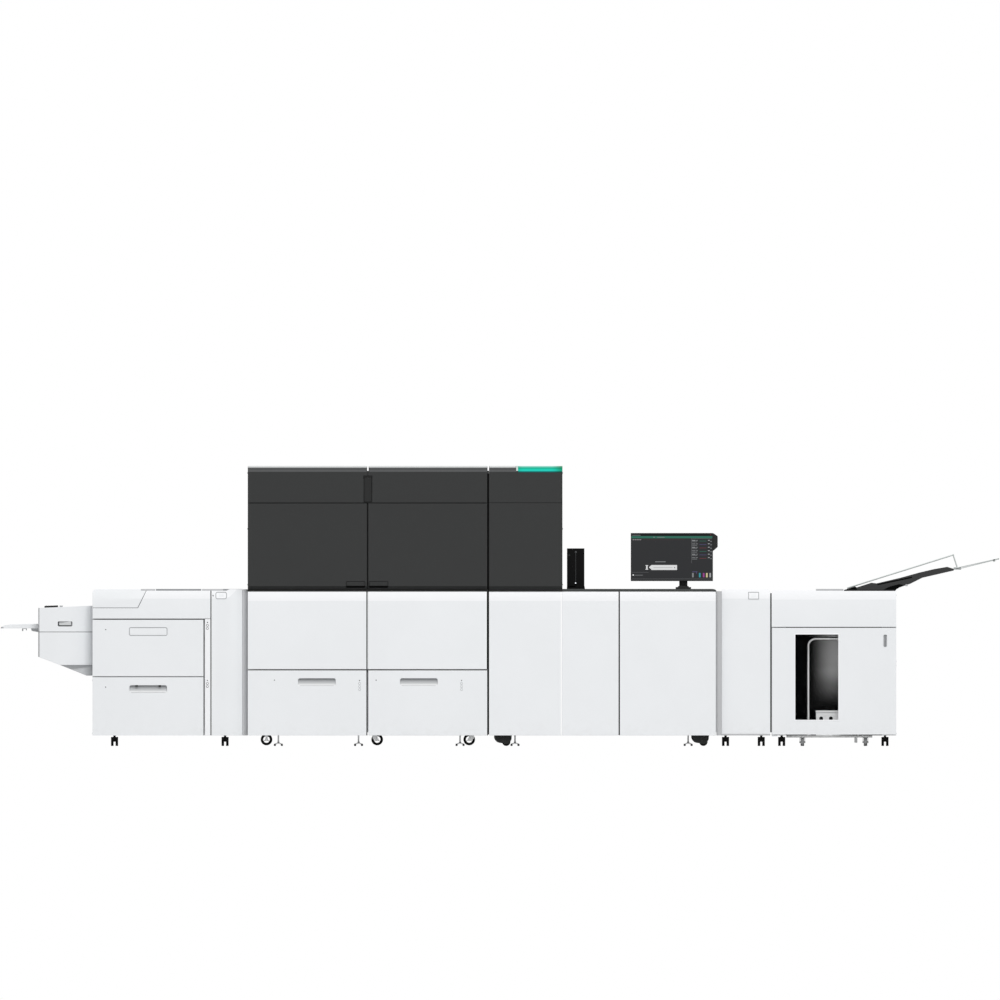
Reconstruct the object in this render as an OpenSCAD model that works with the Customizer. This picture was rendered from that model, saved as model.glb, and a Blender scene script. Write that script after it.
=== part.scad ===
/* [Cabinets] */
// Height of the white cabinets' tops above the floor
cabinet_h = 1044; // [1000:2:1100]
// Depth of the feeder, interface, decurler and stacker cabinets
module_depth = 760; // [700:10:860]
// Height of the white cabinets' underside above the floor
cabinet_z = 70; // [66:1:90]
// Thickness of a sheet metal wall
wall_t = 20; // [14:1:26]
// Thickness of a fixed front cover
cover_t = 28; // [24:1:36]
// Thickness of a door or drawer front
leaf_t = 20; // [16:1:20]
// Seam between two fixed covers
seam = 3; // [2:0.5:4]
// Gap between two white panels side by side
panel_gap = 5; // [3:0.5:6]
// Clearance around a moving front
leaf_gap = 6; // [5:0.5:8]
// How far the white cabinets' fronts sit behind the press front
setback = 30; // [0:5:60]
// Height of the sloping band along the top of the white fronts
slope_h = 63; // [40:1:80]
// How far the sloping band leans back
slope_d = 12; // [6:0.5:14]

/* [Side inserter] */
// Length of the inserter's feed tray
in_tray_l = 250; // [200:5:320]
// Width of the feed tray along the depth
in_tray_d = 340; // [300:10:400]
// Thickness of the feed tray at its root
in_tray_t = 20; // [12:1:26]
// Thickness of the feed tray at its tip
in_tip_t = 8; // [5:1:10]
// Height of the feed tray above the seam between the inserter's covers
in_tray_lift = 34; // [30:1:60]
// Width of the inserter housing
inserter_w = 361; // [320:1:400]
// Depth of the inserter housing
inserter_d = 560; // [500:10:620]
// Drop from the cabinets' top to the inserter's top at its outer side
inserter_drop = 125; // [100:1:140]
// Rise of the inserter's top towards the feeder
inserter_rise = 15; // [0:1:30]
// Height of the inserter's upper cover at its outer side
upper_cover_h = 161; // [150:1:180]
// Height of the inserter's lower cover
lower_cover_h = 219; // [200:1:240]
// Rise of the slanted corner under the lower cover
lower_slant_h = 55; // [40:1:70]
// Width of the slanted corner under the lower cover
lower_slant_w = 145; // [120:1:170]
// Drop of the inserter's drive box below its lower cover
drive_drop = 71; // [50:1:90]
// How far the drive box sits behind the inserter's front
drive_inset = 40; // [20:1:60]
// Width of the grip in the upper cover
inserter_grip_w = 97; // [80:1:120]
// Height of the grip in the upper cover
inserter_grip_h = 34; // [26:1:44]

/* [Feeder] */
// Width of the feeder cabinet
feeder_w = 790; // [740:1:860]
// Height of the feeder's head above the drawers
feeder_head_h = 196; // [180:1:220]
// Height of the seam between the two feeder drawers
feeder_mid_z = 461; // [440:1:480]
// Width of the indicator strip beside the drawers
indicator_w = 42; // [34:1:50]
// Width of the hinged lid at the feeder's corner
lid_w = 300; // [260:1:340]
// Thickness of the lid
lid_h = 123; // [100:1:140]
// Width of the slanted end of the lid
lid_slant = 62; // [40:1:80]
// Radius of the feeder's upper corner
corner_r = 24; // [10:1:40]

/* [Towers] */
// Width of the interface tower
interface_w = 244; // [220:1:280]
// Width of the grey trim on the interface tower
interface_trim_w = 36; // [24:1:48]
// Width of the decurler tower
decurler_w = 324; // [300:1:360]
// Height of the grey rail under the decurler tower
rail_h = 10; // [6:1:12]

/* [Press] */
// Width of the press
press_w = 1600; // [1500:10:1700]
// Depth of the press and of the exit section
press_depth = 1100; // [1000:10:1200]
// Height of the press
press_h = 1865; // [1800:5:1950]
// Height of the top trim
trim_h = 33; // [24:1:40]
// Height of the top covers
band_h = 211; // [180:1:240]
// Gap between the top trims
trim_gap = 10; // [8:1:14]
// Height of the sloping rim along the bottom of the dark doors
rim_h = 22; // [14:1:28]
// How far the rim leans back
rim_d = 7; // [3:0.5:8]
// Width of a dark door's pull
pull_w = 128; // [110:2:150]
// Height of a dark door's pull
pull_h = 44; // [34:1:54]
// Distance of the left door's pull from the door's edge
left_pull_in = 15; // [4:1:30]
// Distance of the right door's pull from the door's edge
right_pull_in = 4; // [4:1:30]
// Drop from the cabinets' top to the ledge under the dark doors
ledge_drop = 13; // [8:1:19]
// Thickness of the ledge under the dark doors
ledge_t = 8; // [6:1:10]
// Height of the seam above the press drawers
drawer_top_z = 511; // [490:1:530]
// Height of the press frame's underside above the floor
frame_z = 92; // [88:1:100]
// Gap between the press and the exit section
press_gap = 7; // [6:0.5:9]
// How far the gaskets between docked modules sit inside their faces
dock_inset = 20; // [10:1:40]

/* [Drawers] */
// Depth of a drawer's bin from front to back
bin_l = 620; // [560:10:640]
// Wall of a drawer's bin
bin_t = 8; // [4:1:10]
// Free space above a bin
bin_head = 24; // [12:1:40]
// Height of a drawer runner
runner_h = 10; // [8:1:14]
// Width of a drawer runner
runner_w = 24; // [16:1:30]
// Running gap over a runner
runner_gap = 0.3; // [0.2:0.1:0.5]
// Width of the grip outline on the upper feeder drawer
grip_w = 256; // [200:2:300]
// Height of the grip outline
grip_h = 57; // [45:1:64]
// Width of a scoop handle
scoop_w = 250; // [200:5:280]
// Height of a scoop handle
scoop_h = 50; // [40:1:60]
// Depth of a scoop handle
scoop_d = 14; // [8:1:14]
// Distance of a press drawer's scoop from its front's middle towards the press's middle
scoop_shift = 62; // [0:2:100]

/* [Exit section] */
// Width of the dark exit tower
tower_w = 489; // [460:1:520]
// Width of the middle white panel
mid_panel_w = 379; // [340:1:400]
// Width of the right white panel
right_panel_w = 646; // [600:1:680]
// Width of the grey trim at the exit section's end
end_trim_w = 35; // [24:1:44]
// Thickness of the worktop
worktop_t = 15; // [12:1:24]
// Width of the status light
light_w = 308; // [260:1:340]
// Depth of the status light
light_d = 60; // [40:1:90]

/* [Computer and monitor] */
// Width of the computer
computer_w = 121; // [90:1:140]
// Depth of the computer
computer_d = 320; // [260:5:380]
// Height of the computer
computer_h = 270; // [240:1:320]
// Distance of the computer from the dark tower
computer_in = 29; // [20:1:60]
// How far the computer sits behind the press front
computer_back = 200; // [150:10:300]
// Width of the monitor
monitor_w = 547; // [480:1:600]
// Height of the monitor
monitor_h = 320; // [290:1:350]
// Thickness of the monitor
monitor_t = 36; // [28:1:44]
// Height of the monitor above the worktop
monitor_lift = 52; // [40:1:70]
// Distance of the monitor from the dark tower
monitor_in = 455; // [420:5:480]
// How far the monitor sits behind the press front
monitor_back = 300; // [250:10:400]
// Distance of the monitor's stand from its left edge
stand_x = 350; // [300:1:380]
// Width of the stand's foot
stand_w = 103; // [90:1:160]
// Width of the stand's neck
neck_w = 55; // [44:1:60]
// Radius of the monitor's tilt pin
tilt_pin_r = 6; // [5:0.5:8]

/* [Stacker] */
// Width of the stacker
stacker_w = 830; // [780:1:880]
// Drop from the cabinets' top to the stacker's top
stacker_drop = 6; // [0:1:30]
// Width of the stacker's side housings
stacker_wall = 95; // [84:1:100]
// Height of the seam above the stacker door
stacker_door_z = 793; // [780:1:810]
// Gap between the decurler and the stacker
dock_gap = 9; // [7:0.5:12]
// Width of the door's window
window_w = 286; // [240:1:320]
// Height of the door's window
window_h = 568; // [500:1:580]
// Distance of the window from the door's left edge
window_x = 158; // [130:1:200]
// Height of the window's lower edge above the door's lower edge
window_z = 98; // [90:1:116]
// Radius of the window's corners
window_r = 4; // [2:1:14]
// Thickness of the window pane
pane_t = 5; // [4:1:6]
// Radius of a door's hinge pin
pin_r = 4; // [3:0.5:5]
// Running clearance round a pin
pin_clear = 0.1; // [0.05:0.05:0.2]

/* [Stack cart] */
// Gap between the cart's frame and the stacker's side housings
cart_gap = 30; // [20:1:45]
// Depth of the cart
cart_d = 520; // [460:10:560]
// Width of the cart's centre box
deck_w = 240; // [200:5:280]
// Height of the cart's centre box above the floor
deck_z = 236; // [220:1:250]
// Height of the cart's frame above the floor
cart_z = 56; // [54:1:60]
// Thickness of the cart's frame
cart_t = 12; // [8:1:14]
// Distance of the cart's wheels from the frame's sides
cart_wheel_in = 80; // [50:5:100]
// Height of the cart's handle above the floor
handle_z = 716; // [680:1:730]
// Radius of the cart's handle tube
tube_r = 9; // [7:0.5:12]
// Distance between the handle's uprights
handle_w = 342; // [320:1:380]

/* [Vents] */
// Width of a vent
vent_w = 300; // [240:10:320]
// Width of a narrow vent
narrow_vent_w = 200; // [140:10:210]
// Height of a vent
vent_h = 240; // [168:8:240]
// Depth of a vent's recess
vent_d = 12; // [9:1:12]
// Distance from one blade of a vent to the next
blade_pitch = 24; // [20:1:40]
// Distance of a vent from a housing's side
vent_in = 60; // [50:5:70]
// Distance of the press's upper vents from the top and from the back
vent_drop = 70; // [60:5:90]
// Height of the press's lower vents above the floor
low_vent_z = 160; // [140:5:200]
// Height of the other cabinets' vents above the floor
vent_z = 620; // [560:10:660]

/* [Output tray] */
// Distance of the tray's lower end from the stacker's left side
out_x = 479; // [440:1:500]
// Length of the tray with its extension
out_reach = 1037; // [980:1:1100]
// Rise of the tray from the stacker's top to its far end
out_rise = 212; // [190:1:240]
// Depth of the output tray
out_d = 400; // [360:10:460]
// Radius of the paper rail's wire
rail_r = 4.5; // [3:0.5:5]
// Height of the paper rail above the stacker
rail_top = 234; // [220:1:260]

/* [Wheels and feet] */
// Radius of a press wheel
wheel_r = 39; // [36:0.5:40]
// Width of a press wheel
wheel_w = 36; // [30:1:44]
// Radius of a press wheel's axle
axle_r = 6; // [5:0.5:8]
// Distance of the outer press wheels from the press's sides
wheel_in = 125; // [110:1:150]
// Distance of the middle press wheels from the press's middle
mid_wheel_in = 62; // [50:1:80]
// Distance of the left levelling feet from the press's left side
left_foot_in = 204; // [195:1:225]
// Distance of the right levelling feet from the press's right side
right_foot_in = 186; // [184:1:215]
// Distance of the wheels and feet from the fronts and backs
wheel_y = 90; // [80:1:110]
// Distance of the caster covers from the exit section's left side
cover_in = 33; // [20:1:45]
// Width of a caster cover
cover_w = 120; // [100:1:130]
// Radius of a small twin wheel
caster_r = 30; // [26:0.5:31]
// Width of one small wheel
caster_w = 15; // [12:1:18]
// Gap between the two small wheels
caster_gap = 18; // [14:1:22]
// Distance of the feeder's casters from its left side
feeder_caster_in = 147; // [100:1:200]
// Distance of the interface tower's casters from its left side
interface_caster_in = 93; // [60:1:150]
// Distance of the decurler's left casters from its left side
decurler_left_in = 26; // [24:1:60]
// Distance of the decurler's right casters from its right side
decurler_right_in = 60; // [45:1:80]
// Distance of the stacker's left casters from its left side
stacker_left_in = 67; // [50:1:70]
// Distance of the stacker's right casters from its right side
stacker_right_in = 75; // [50:1:80]
// Radius of a levelling foot's pad
foot_r = 30; // [25:1:35]
// Radius of a levelling foot's stem
stem_r = 6; // [5:0.5:8]

/* [Hidden] */
$fn = 48;

white = "#e8e9eb";
grey = "#b5b6b7";
dark = "#3c3c3c";
black = "#202020";

exit_w = tower_w + mid_panel_w + right_panel_w + end_trim_w;
total_w = in_tray_l + inserter_w + feeder_w + interface_w + press_w + press_gap + exit_w
    + decurler_w + dock_gap + out_x + out_reach;
tray_x = -total_w / 2;
inserter_x = tray_x + in_tray_l;
feeder_x = inserter_x + inserter_w;
interface_x = feeder_x + feeder_w;
press_x = interface_x + interface_w;
exit_x = press_x + press_w + press_gap;
decurler_x = exit_x + exit_w;
stacker_x = decurler_x + decurler_w + dock_gap;
press_mid = press_x + press_w / 2;
feeder_head_z = cabinet_h - feeder_head_h;
ledge_z = cabinet_h - ledge_drop;
stacker_h = cabinet_h - stacker_drop;

press_y = -press_depth / 2;
press_core_y = press_y + cover_t;
press_back_y = press_depth / 2;
module_y = press_y + setback;
module_core_y = module_y + cover_t;
module_back_y = module_y + module_depth;
module_mid_y = module_y + module_depth / 2;

trim_z = press_h - trim_h;
band_z = trim_z - band_h;
white_top_z = ledge_z - seam;
door_low_z = ledge_z + ledge_t + leaf_gap;
door_high_z = band_z - leaf_gap;
door_w = press_w / 2 - leaf_gap / 2;
pin_l = 30;
pin_in = leaf_t / 2;

worktop_z = ledge_z + worktop_t;
monitor_x = exit_x + tower_w + monitor_in;
monitor_y = press_y + monitor_back;
tilt_y = monitor_y + monitor_t + 32;
tilt_z = worktop_z + monitor_lift + monitor_h / 2;
tilt_x = monitor_x + stand_x;

module block(x, y, z, w, d, h) {
    translate([x, y, z]) cube([w, d, h]);
}

// A flat shape drawn in the front view, pushed back from y by d
module front_shape(y, d) {
    translate([0, y + d, 0]) rotate([90, 0, 0]) linear_extrude(d) children();
}

// A shape drawn in the side view as (depth, height), running w to the right from x
module side_shape(x, w) {
    translate([x, 0, 0]) rotate([90, 0, 90]) linear_extrude(w) children();
}

// A front cover of thickness t whose top leans back
module sloped_front(x, y, z, w, t, h) {
    side_shape(x, w) polygon([
        [y, z],
        [y, z + h - slope_h],
        [y + slope_d, z + h],
        [y + t, z + h],
        [y + t, z]]);
}

// What is cut from a front at y so that its top, at height z, leans back
module slope_cut(x, y, z, w) {
    side_shape(x - 1, w + 2) polygon([
        [y - 1, z - slope_h],
        [y, z - slope_h],
        [y + slope_d, z],
        [y + slope_d, z + 1],
        [y - 1, z + 1]]);
}

// What is cut from a dark front so that its bottom rim leans back
module rim_cut(x, z, w) {
    side_shape(x - 1, w + 2) polygon([
        [press_y - 1, z - 1],
        [press_y + rim_d, z - 1],
        [press_y + rim_d, z],
        [press_y, z + rim_h],
        [press_y - 1, z + rim_h]]);
}

module rounded_rect(w, h, r) {
    translate([r, 0]) square([w - 2 * r, h]);
    translate([0, r]) square([w, h - 2 * r]);
    for (x = [r, w - r], z = [r, h - r]) translate([x, z]) circle(r);
}

// A scoop handle sunk in a front face at y, centred on x
module scoop(x, y, z) {
    front_shape(y - 1, scoop_d + 1) translate([x - scoop_w / 2, z]) rounded_rect(scoop_w, scoop_h, 14);
}

// A door leaf with a round stile and pin bores; side is 1 for a hinge at its left, -1 at its right
module leaf(hinge_x, y, z, w, h, side) {
    difference() {
        union() {
            translate([hinge_x, y + pin_in, z]) cylinder(h = h, r = pin_in);
            block(side > 0 ? hinge_x : hinge_x - w + pin_in, y, z, w - pin_in, leaf_t, h);
        }
        for (bore_z = [z - 1, z + h - pin_l]) {
            translate([hinge_x, y + pin_in, bore_z]) cylinder(h = pin_l + 1, r = pin_r + pin_clear);
        }
    }
}

// What is cut from an upright face's lower left corner at the origin for a vent: it keeps slanted blades
module vent(w) {
    nose_in = 5;
    difference() {
        translate([0, 0, -vent_d]) cube([w, vent_h, vent_d + 1]);
        for (y = [0:blade_pitch:vent_h - blade_pitch]) translate([-1, y, 0]) rotate([90, 0, 90])
            linear_extrude(w + 2) polygon([
                [4, -nose_in],
                [10, -nose_in],
                [19, -vent_d - 1],
                [13, -vent_d - 1]]);
    }
}

// A vent in a back, a left, a right and a top face, placed by its lowest corner
module back_vent(x, y, z, w = vent_w) {
    translate([x + w, y, z]) rotate([90, 0, 180]) vent(w);
}

module left_vent(x, y, z, w = vent_w) {
    translate([x, y + w, z]) rotate([90, 0, -90]) vent(w);
}

module right_vent(x, y, z, w = vent_w) {
    translate([x, y, z]) rotate([90, 0, 90]) vent(w);
}

module top_vent(x, y, z) {
    translate([x, y, z]) vent(vent_w);
}

inserter_y = module_y + 60;
inserter_h = cabinet_h - inserter_drop;
inserter_split = inserter_h - upper_cover_h;
inserter_low = inserter_split - lower_cover_h;
in_tray_z = inserter_split + in_tray_lift;
lower_corner = [inserter_x + lower_slant_w, inserter_low];

// Height of the inserter's sloping top at a distance from its outer side
function inserter_top(x) = inserter_h + inserter_rise * x / inserter_w;

module inserter_upper_cover() color(white) difference() {
    front_shape(inserter_y, inserter_d) polygon([
        [inserter_x, inserter_split + seam],
        [feeder_x, inserter_split + seam],
        [feeder_x, inserter_top(inserter_w)],
        [inserter_x, inserter_top(0)]]);
    front_shape(inserter_y - 1, 13) translate([inserter_x + 130, inserter_split + 38])
        rounded_rect(inserter_grip_w, inserter_grip_h, 8);
}

module inserter_lower_cover() color(white) {
    front_shape(inserter_y, inserter_d) polygon([
        [inserter_x, inserter_low + lower_slant_h],
        lower_corner,
        [feeder_x, inserter_low],
        [feeder_x, inserter_split + seam],
        [inserter_x, inserter_split + seam]]);
}

module inserter_drive_box() color(grey) {
    front_shape(inserter_y + drive_inset, inserter_d - 2 * drive_inset) polygon([
        lower_corner,
        [feeder_x - 39, inserter_low - drive_drop],
        [feeder_x, inserter_low - drive_drop],
        [feeder_x, inserter_low]]);
}

module inserter_controls() color(black) {
    near = 41;
    far = 132;
    front_shape(inserter_y + 20, 60) polygon([
        [inserter_x + near, inserter_top(near)],
        [inserter_x + far, inserter_top(far)],
        [inserter_x + far, inserter_top(far) + 12],
        [inserter_x + near, inserter_top(near) + 12]]);
}

module inserter_tray() color(grey) {
    tray_y = inserter_y + (inserter_d - in_tray_d) / 2;
    front_shape(tray_y, in_tray_d) polygon([
        [tray_x, in_tray_z],
        [inserter_x - 50, in_tray_z - 4],
        [inserter_x, in_tray_z - 26],
        [inserter_x, in_tray_z + in_tray_t],
        [tray_x, in_tray_z + in_tip_t]]);
    front_shape(tray_y + 40, in_tray_d - 80) translate([inserter_x - 106, in_tray_z - 22]) square([28, 26]);
}

drawer_w = feeder_w - indicator_w - leaf_gap;
feeder_bay_w = drawer_w - 2 * wall_t;
bay_back_y = module_back_y - wall_t;

module runners(x, y, z, w, d) {
    for (runner_x = [x, x + w - runner_w]) block(runner_x, y, z, runner_w, d, runner_h);
}

module feeder_cabinet() color(white) difference() {
    union() {
        difference() {
            front_shape(module_core_y, module_back_y - module_core_y) union() {
                translate([feeder_x, cabinet_z]) square([feeder_w, cabinet_h - corner_r - cabinet_z]);
                translate([feeder_x + corner_r, cabinet_z])
                    square([feeder_w - corner_r, cabinet_h - cabinet_z]);
                translate([feeder_x + corner_r, cabinet_h - corner_r]) circle(corner_r);
            }
            for (bay = [[cabinet_z + wall_t, feeder_mid_z - wall_t / 2],
                        [feeder_mid_z + wall_t / 2, feeder_head_z - seam]]) {
                block(feeder_x + wall_t, module_core_y - 1, bay[0], feeder_bay_w,
                    bay_back_y - module_core_y + 1, bay[1] - bay[0]);
            }
        }
        front_shape(module_y, cover_t) union() {
            translate([feeder_x, feeder_head_z]) square([feeder_w, cabinet_h - corner_r - feeder_head_z]);
            translate([feeder_x + corner_r, feeder_head_z])
                square([feeder_w - corner_r, cabinet_h - feeder_head_z]);
            translate([feeder_x + corner_r, cabinet_h - corner_r]) circle(corner_r);
        }
        for (z = [cabinet_z + wall_t, feeder_mid_z + wall_t / 2]) {
            runners(feeder_x + wall_t, module_core_y, z, feeder_bay_w, bay_back_y - module_core_y);
        }
    }
    front_shape(module_y - 1, module_depth + 2) lid_shape(seam);
    slope_cut(feeder_x, module_y, cabinet_h, feeder_w);
    back_vent(feeder_x + feeder_w - vent_in - vent_w, module_back_y, vent_z);
}

// Outline of the corner lid, grown by a margin at its lower and slanted sides
module lid_shape(margin) {
    polygon([
        [feeder_x - 1, cabinet_h - lid_h - margin],
        [feeder_x + lid_w + margin, cabinet_h - lid_h - margin],
        [feeder_x + lid_w + lid_slant + margin, cabinet_h + 1],
        [feeder_x - 1, cabinet_h + 1]]);
}

module feeder_lid() color(white) difference() {
    intersection() {
        front_shape(module_y, module_depth) union() {
            translate([feeder_x, cabinet_h - lid_h]) square([feeder_w, lid_h - corner_r]);
            translate([feeder_x + corner_r, cabinet_h - lid_h]) square([feeder_w - corner_r, lid_h]);
            translate([feeder_x + corner_r, cabinet_h - corner_r]) circle(corner_r);
        }
        front_shape(module_y - 1, module_depth + 2) lid_shape(0);
    }
    slope_cut(feeder_x, module_y, cabinet_h, lid_w + lid_slant);
}

module feeder_indicator_strip() color(white) {
    block(feeder_x + feeder_w - indicator_w, module_y, cabinet_z, indicator_w, cover_t,
        feeder_head_z - seam - cabinet_z);
}

// A drawer's bin: an open box hung behind its front, riding over the runners
module bin(x, y, z, w, h) {
    difference() {
        block(x, y, z, w, bin_l, h);
        block(x + bin_t, y + bin_t, z + bin_t, w - 2 * bin_t, bin_l - 2 * bin_t, h);
    }
}

module feeder_bin(bay_z, bay_top) {
    low = bay_z + runner_h + runner_gap;
    bin(feeder_x + wall_t + leaf_gap, module_y + leaf_t, low, feeder_bay_w - 2 * leaf_gap,
        bay_top - bin_head - low);
}

module feeder_upper_drawer_front() color(white) difference() {
    block(feeder_x, module_y, feeder_mid_z + leaf_gap / 2, drawer_w, leaf_t,
        feeder_head_z - leaf_gap - feeder_mid_z - leaf_gap / 2);
    front_shape(module_y - 1, 4) translate([feeder_x + (drawer_w - grip_w) / 2, feeder_head_z - 58 - grip_h])
        rounded_rect(grip_w, grip_h, 12);
}

module feeder_upper_drawer_bin() color(grey) feeder_bin(feeder_mid_z + wall_t / 2, feeder_head_z - seam);

module feeder_lower_drawer_front() color(white) difference() {
    block(feeder_x, module_y, cabinet_z, drawer_w, leaf_t, feeder_mid_z - leaf_gap / 2 - cabinet_z);
    scoop(feeder_x + drawer_w / 2, module_y, feeder_mid_z - 56 - scoop_h);
}

module feeder_lower_drawer_bin() color(grey) feeder_bin(cabinet_z + wall_t, feeder_mid_z - wall_t / 2);

module interface_tower() color(white) difference() {
    block(interface_x, module_y, cabinet_z, interface_w - interface_trim_w, module_depth,
        cabinet_h - cabinet_z);
    slope_cut(interface_x, module_y, cabinet_h, interface_w - interface_trim_w);
}

module interface_trim() color(grey) {
    block(press_x - interface_trim_w, module_y, cabinet_z, interface_trim_w, module_depth,
        cabinet_h - cabinet_z);
}

// A twin-wheel caster on a stem under an underside at height z
module twin_caster(x, y, z) {
    stem_w = caster_gap - 6;
    for (side = [-1, 1]) {
        wheel_x = x + side * (caster_gap + caster_w) / 2;
        translate([wheel_x - caster_w / 2, y, caster_r]) rotate([0, 90, 0])
            cylinder(h = caster_w, r = caster_r);
    }
    translate([x - caster_gap / 2, y, caster_r]) rotate([0, 90, 0]) cylinder(h = caster_gap, r = 8);
    block(x - stem_w / 2, y - 14, caster_r - 6, stem_w, 28, z - caster_r + 6);
}

module cabinet_casters() color(black) {
    for (x = [feeder_x + feeder_caster_in, interface_x + interface_caster_in,
              decurler_x + decurler_left_in, decurler_x + decurler_w - decurler_right_in,
              stacker_x + stacker_left_in, stacker_x + stacker_w - stacker_right_in],
         y = [module_y + wheel_y, module_back_y - wheel_y]) {
        twin_caster(x, y, cabinet_z);
    }
}

press_bay_w = press_w / 2 - 1.5 * wall_t;
press_bay_z = frame_z + wall_t;
press_bay_top = drawer_top_z - leaf_gap;
press_bay_back = press_core_y + bin_l + 60;
press_bays = [press_x + wall_t, press_mid + wall_t / 2];
press_vents = [press_x + vent_in, press_x + press_w - vent_in - vent_w];

module press_frame() color(white) {
    difference() {
        block(press_x, press_core_y, frame_z, press_w, press_back_y - press_core_y, white_top_z - frame_z);
        for (x = press_bays) {
            block(x, press_core_y - 1, press_bay_z, press_bay_w, press_bay_back - press_core_y + 1,
                press_bay_top - press_bay_z);
        }
        for (x = press_vents) back_vent(x, press_back_y, low_vent_z);
    }
    for (x = press_bays) runners(x, press_core_y, press_bay_z, press_bay_w, press_bay_back - press_core_y);
}

high_vent_z = trim_z - vent_drop - vent_h;
side_vent_y = press_back_y - 2 * vent_drop - vent_w;

module press_upper_body() color(dark) difference() {
    block(press_x, press_core_y, white_top_z, press_w, press_back_y - press_core_y, trim_z - white_top_z);
    for (x = concat(press_vents, press_mid - vent_w / 2)) back_vent(x, press_back_y, high_vent_z);
    left_vent(press_x, side_vent_y, high_vent_z);
}

light_x = exit_x + tower_w - light_w;

module top_trim() color("#5a5a5a") {
    lid_l = (press_w - trim_gap) / 2;
    top_vent_y = press_back_y - 2 * vent_drop - vent_h;
    for (x = [press_x, press_mid + trim_gap / 2]) difference() {
        block(x, press_y, trim_z, lid_l - (x > press_x ? seam : 0), press_depth, trim_h);
        for (share = [1 / 4, 3 / 4]) top_vent(x + share * lid_l - vent_w / 2, top_vent_y, press_h);
    }
    difference() {
        block(exit_x, press_y, trim_z, tower_w, press_depth, trim_h);
        block(light_x, press_y - 1, trim_z - 1, light_w + 1, light_d + 1, trim_h + 2);
        top_vent(exit_x + (tower_w - vent_w) / 2, top_vent_y, press_h);
    }
}

module status_light() color("#0fa381") {
    block(light_x, press_y, trim_z, light_w, light_d, trim_h);
}

// The fixed covers of the top band, with a grip at the press's middle and the doors' upper pins
module top_covers() color(dark) {
    for (side = [-1, 1]) difference() {
        block(side < 0 ? press_x : press_mid + seam / 2, press_y, band_z, press_w / 2 - seam / 2, cover_t,
            trim_z - band_z);
        front_shape(press_y - 1, 15) translate([press_mid - 30, band_z - 1]) square([60, 181]);
    }
    for (x = [press_x + pin_in, press_x + press_w - pin_in]) {
        translate([x, press_y + pin_in, door_high_z - pin_l + 1]) cylinder(h = pin_l + leaf_gap, r = pin_r);
    }
    block(exit_x, press_y, band_z, tower_w, cover_t, trim_z - band_z);
}

module door_ledge() color(black) {
    block(press_x, press_y, ledge_z, press_w, cover_t, ledge_t);
    for (x = [press_x + pin_in, press_x + press_w - pin_in]) {
        translate([x, press_y + pin_in, ledge_z + 1]) cylinder(h = pin_l + leaf_gap + ledge_t - 2, r = pin_r);
    }
}

module pull(x) {
    front_shape(press_y - 1, 13) translate([x, door_low_z + 8]) rounded_rect(pull_w, pull_h, 8);
}

module press_left_door() color(dark) difference() {
    leaf(press_x + pin_in, press_y, door_low_z, door_w, door_high_z - door_low_z, 1);
    pull(press_mid - leaf_gap / 2 - left_pull_in - pull_w);
    rim_cut(press_x + leaf_t, door_low_z, press_w);
}

module press_right_door() color(dark) difference() {
    leaf(press_x + press_w - pin_in, press_y, door_low_z, door_w, door_high_z - door_low_z, -1);
    pull(press_mid + leaf_gap / 2 + right_pull_in);
    rim_cut(press_x, door_low_z, press_w - leaf_t);
}

module white_panels() color(white) {
    panel_w = (press_w - panel_gap) / 2;
    for (x = [press_x, press_x + press_w - panel_w]) {
        sloped_front(x, press_y, drawer_top_z, panel_w, cover_t, white_top_z - drawer_top_z);
    }
    exit_panels = [[exit_x, tower_w - panel_gap], [exit_x + tower_w, mid_panel_w - panel_gap],
        [exit_x + tower_w + mid_panel_w, right_panel_w - seam]];
    for (p = exit_panels) sloped_front(p[0], press_y, cabinet_z, p[1], cover_t, white_top_z - cabinet_z);
}

// A press drawer's front; side is 1 where the press's middle is at its right, -1 at its left
module press_drawer_front(x, side) difference() {
    block(x, press_y, cabinet_z, door_w, leaf_t, drawer_top_z - leaf_gap - cabinet_z);
    scoop(x + door_w / 2 + side * scoop_shift, press_y, drawer_top_z - 60 - scoop_h);
}

module press_bin(x) {
    low = press_bay_z + runner_h + runner_gap;
    bin(x + leaf_gap, press_y + leaf_t, low, press_bay_w - 2 * leaf_gap, press_bay_top - bin_head - low);
}

module press_left_drawer_front() color(white) press_drawer_front(press_x, 1);
module press_left_drawer_bin() color(grey) press_bin(press_bays[0]);
module press_right_drawer_front() color(white) press_drawer_front(press_mid + leaf_gap / 2, -1);
module press_right_drawer_bin() color(grey) press_bin(press_bays[1]);

wheel_z = wheel_r + 4;
wheel_places = [for (x = [press_x + wheel_in, press_mid + mid_wheel_in, press_x + press_w - wheel_in],
    y = [press_y + wheel_y, press_back_y - wheel_y]) [x, y]];

module press_wheels() color(black) {
    for (p = wheel_places) translate([p[0], p[1] + wheel_w / 2, wheel_z]) rotate([90, 0, 0]) difference() {
        cylinder(h = wheel_w, r = wheel_r);
        translate([0, 0, -1]) cylinder(h = wheel_w + 2, r = axle_r + 0.3);
    }
}

// A fork of two cheeks and an axle under a plate that is screwed to the frame
module wheel_bracket(x, y) {
    cheek_t = 4;
    reach = wheel_w / 2 + 2;
    block(x - 30, y - reach - cheek_t, frame_z - 5, 60, 2 * (reach + cheek_t), 5);
    for (side = [-1, 1]) {
        front_shape(y + side * (reach + cheek_t / 2) - cheek_t / 2, cheek_t) polygon([
            [x - 30, frame_z - 5],
            [x - 12, wheel_z - 12],
            [x + 12, wheel_z - 12],
            [x + 30, frame_z - 5]]);
    }
    translate([x, y + reach + cheek_t, wheel_z]) rotate([90, 0, 0])
        cylinder(h = 2 * (reach + cheek_t), r = axle_r);
}

module wheel_brackets() color(grey) {
    for (p = wheel_places) wheel_bracket(p[0], p[1]);
}

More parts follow.
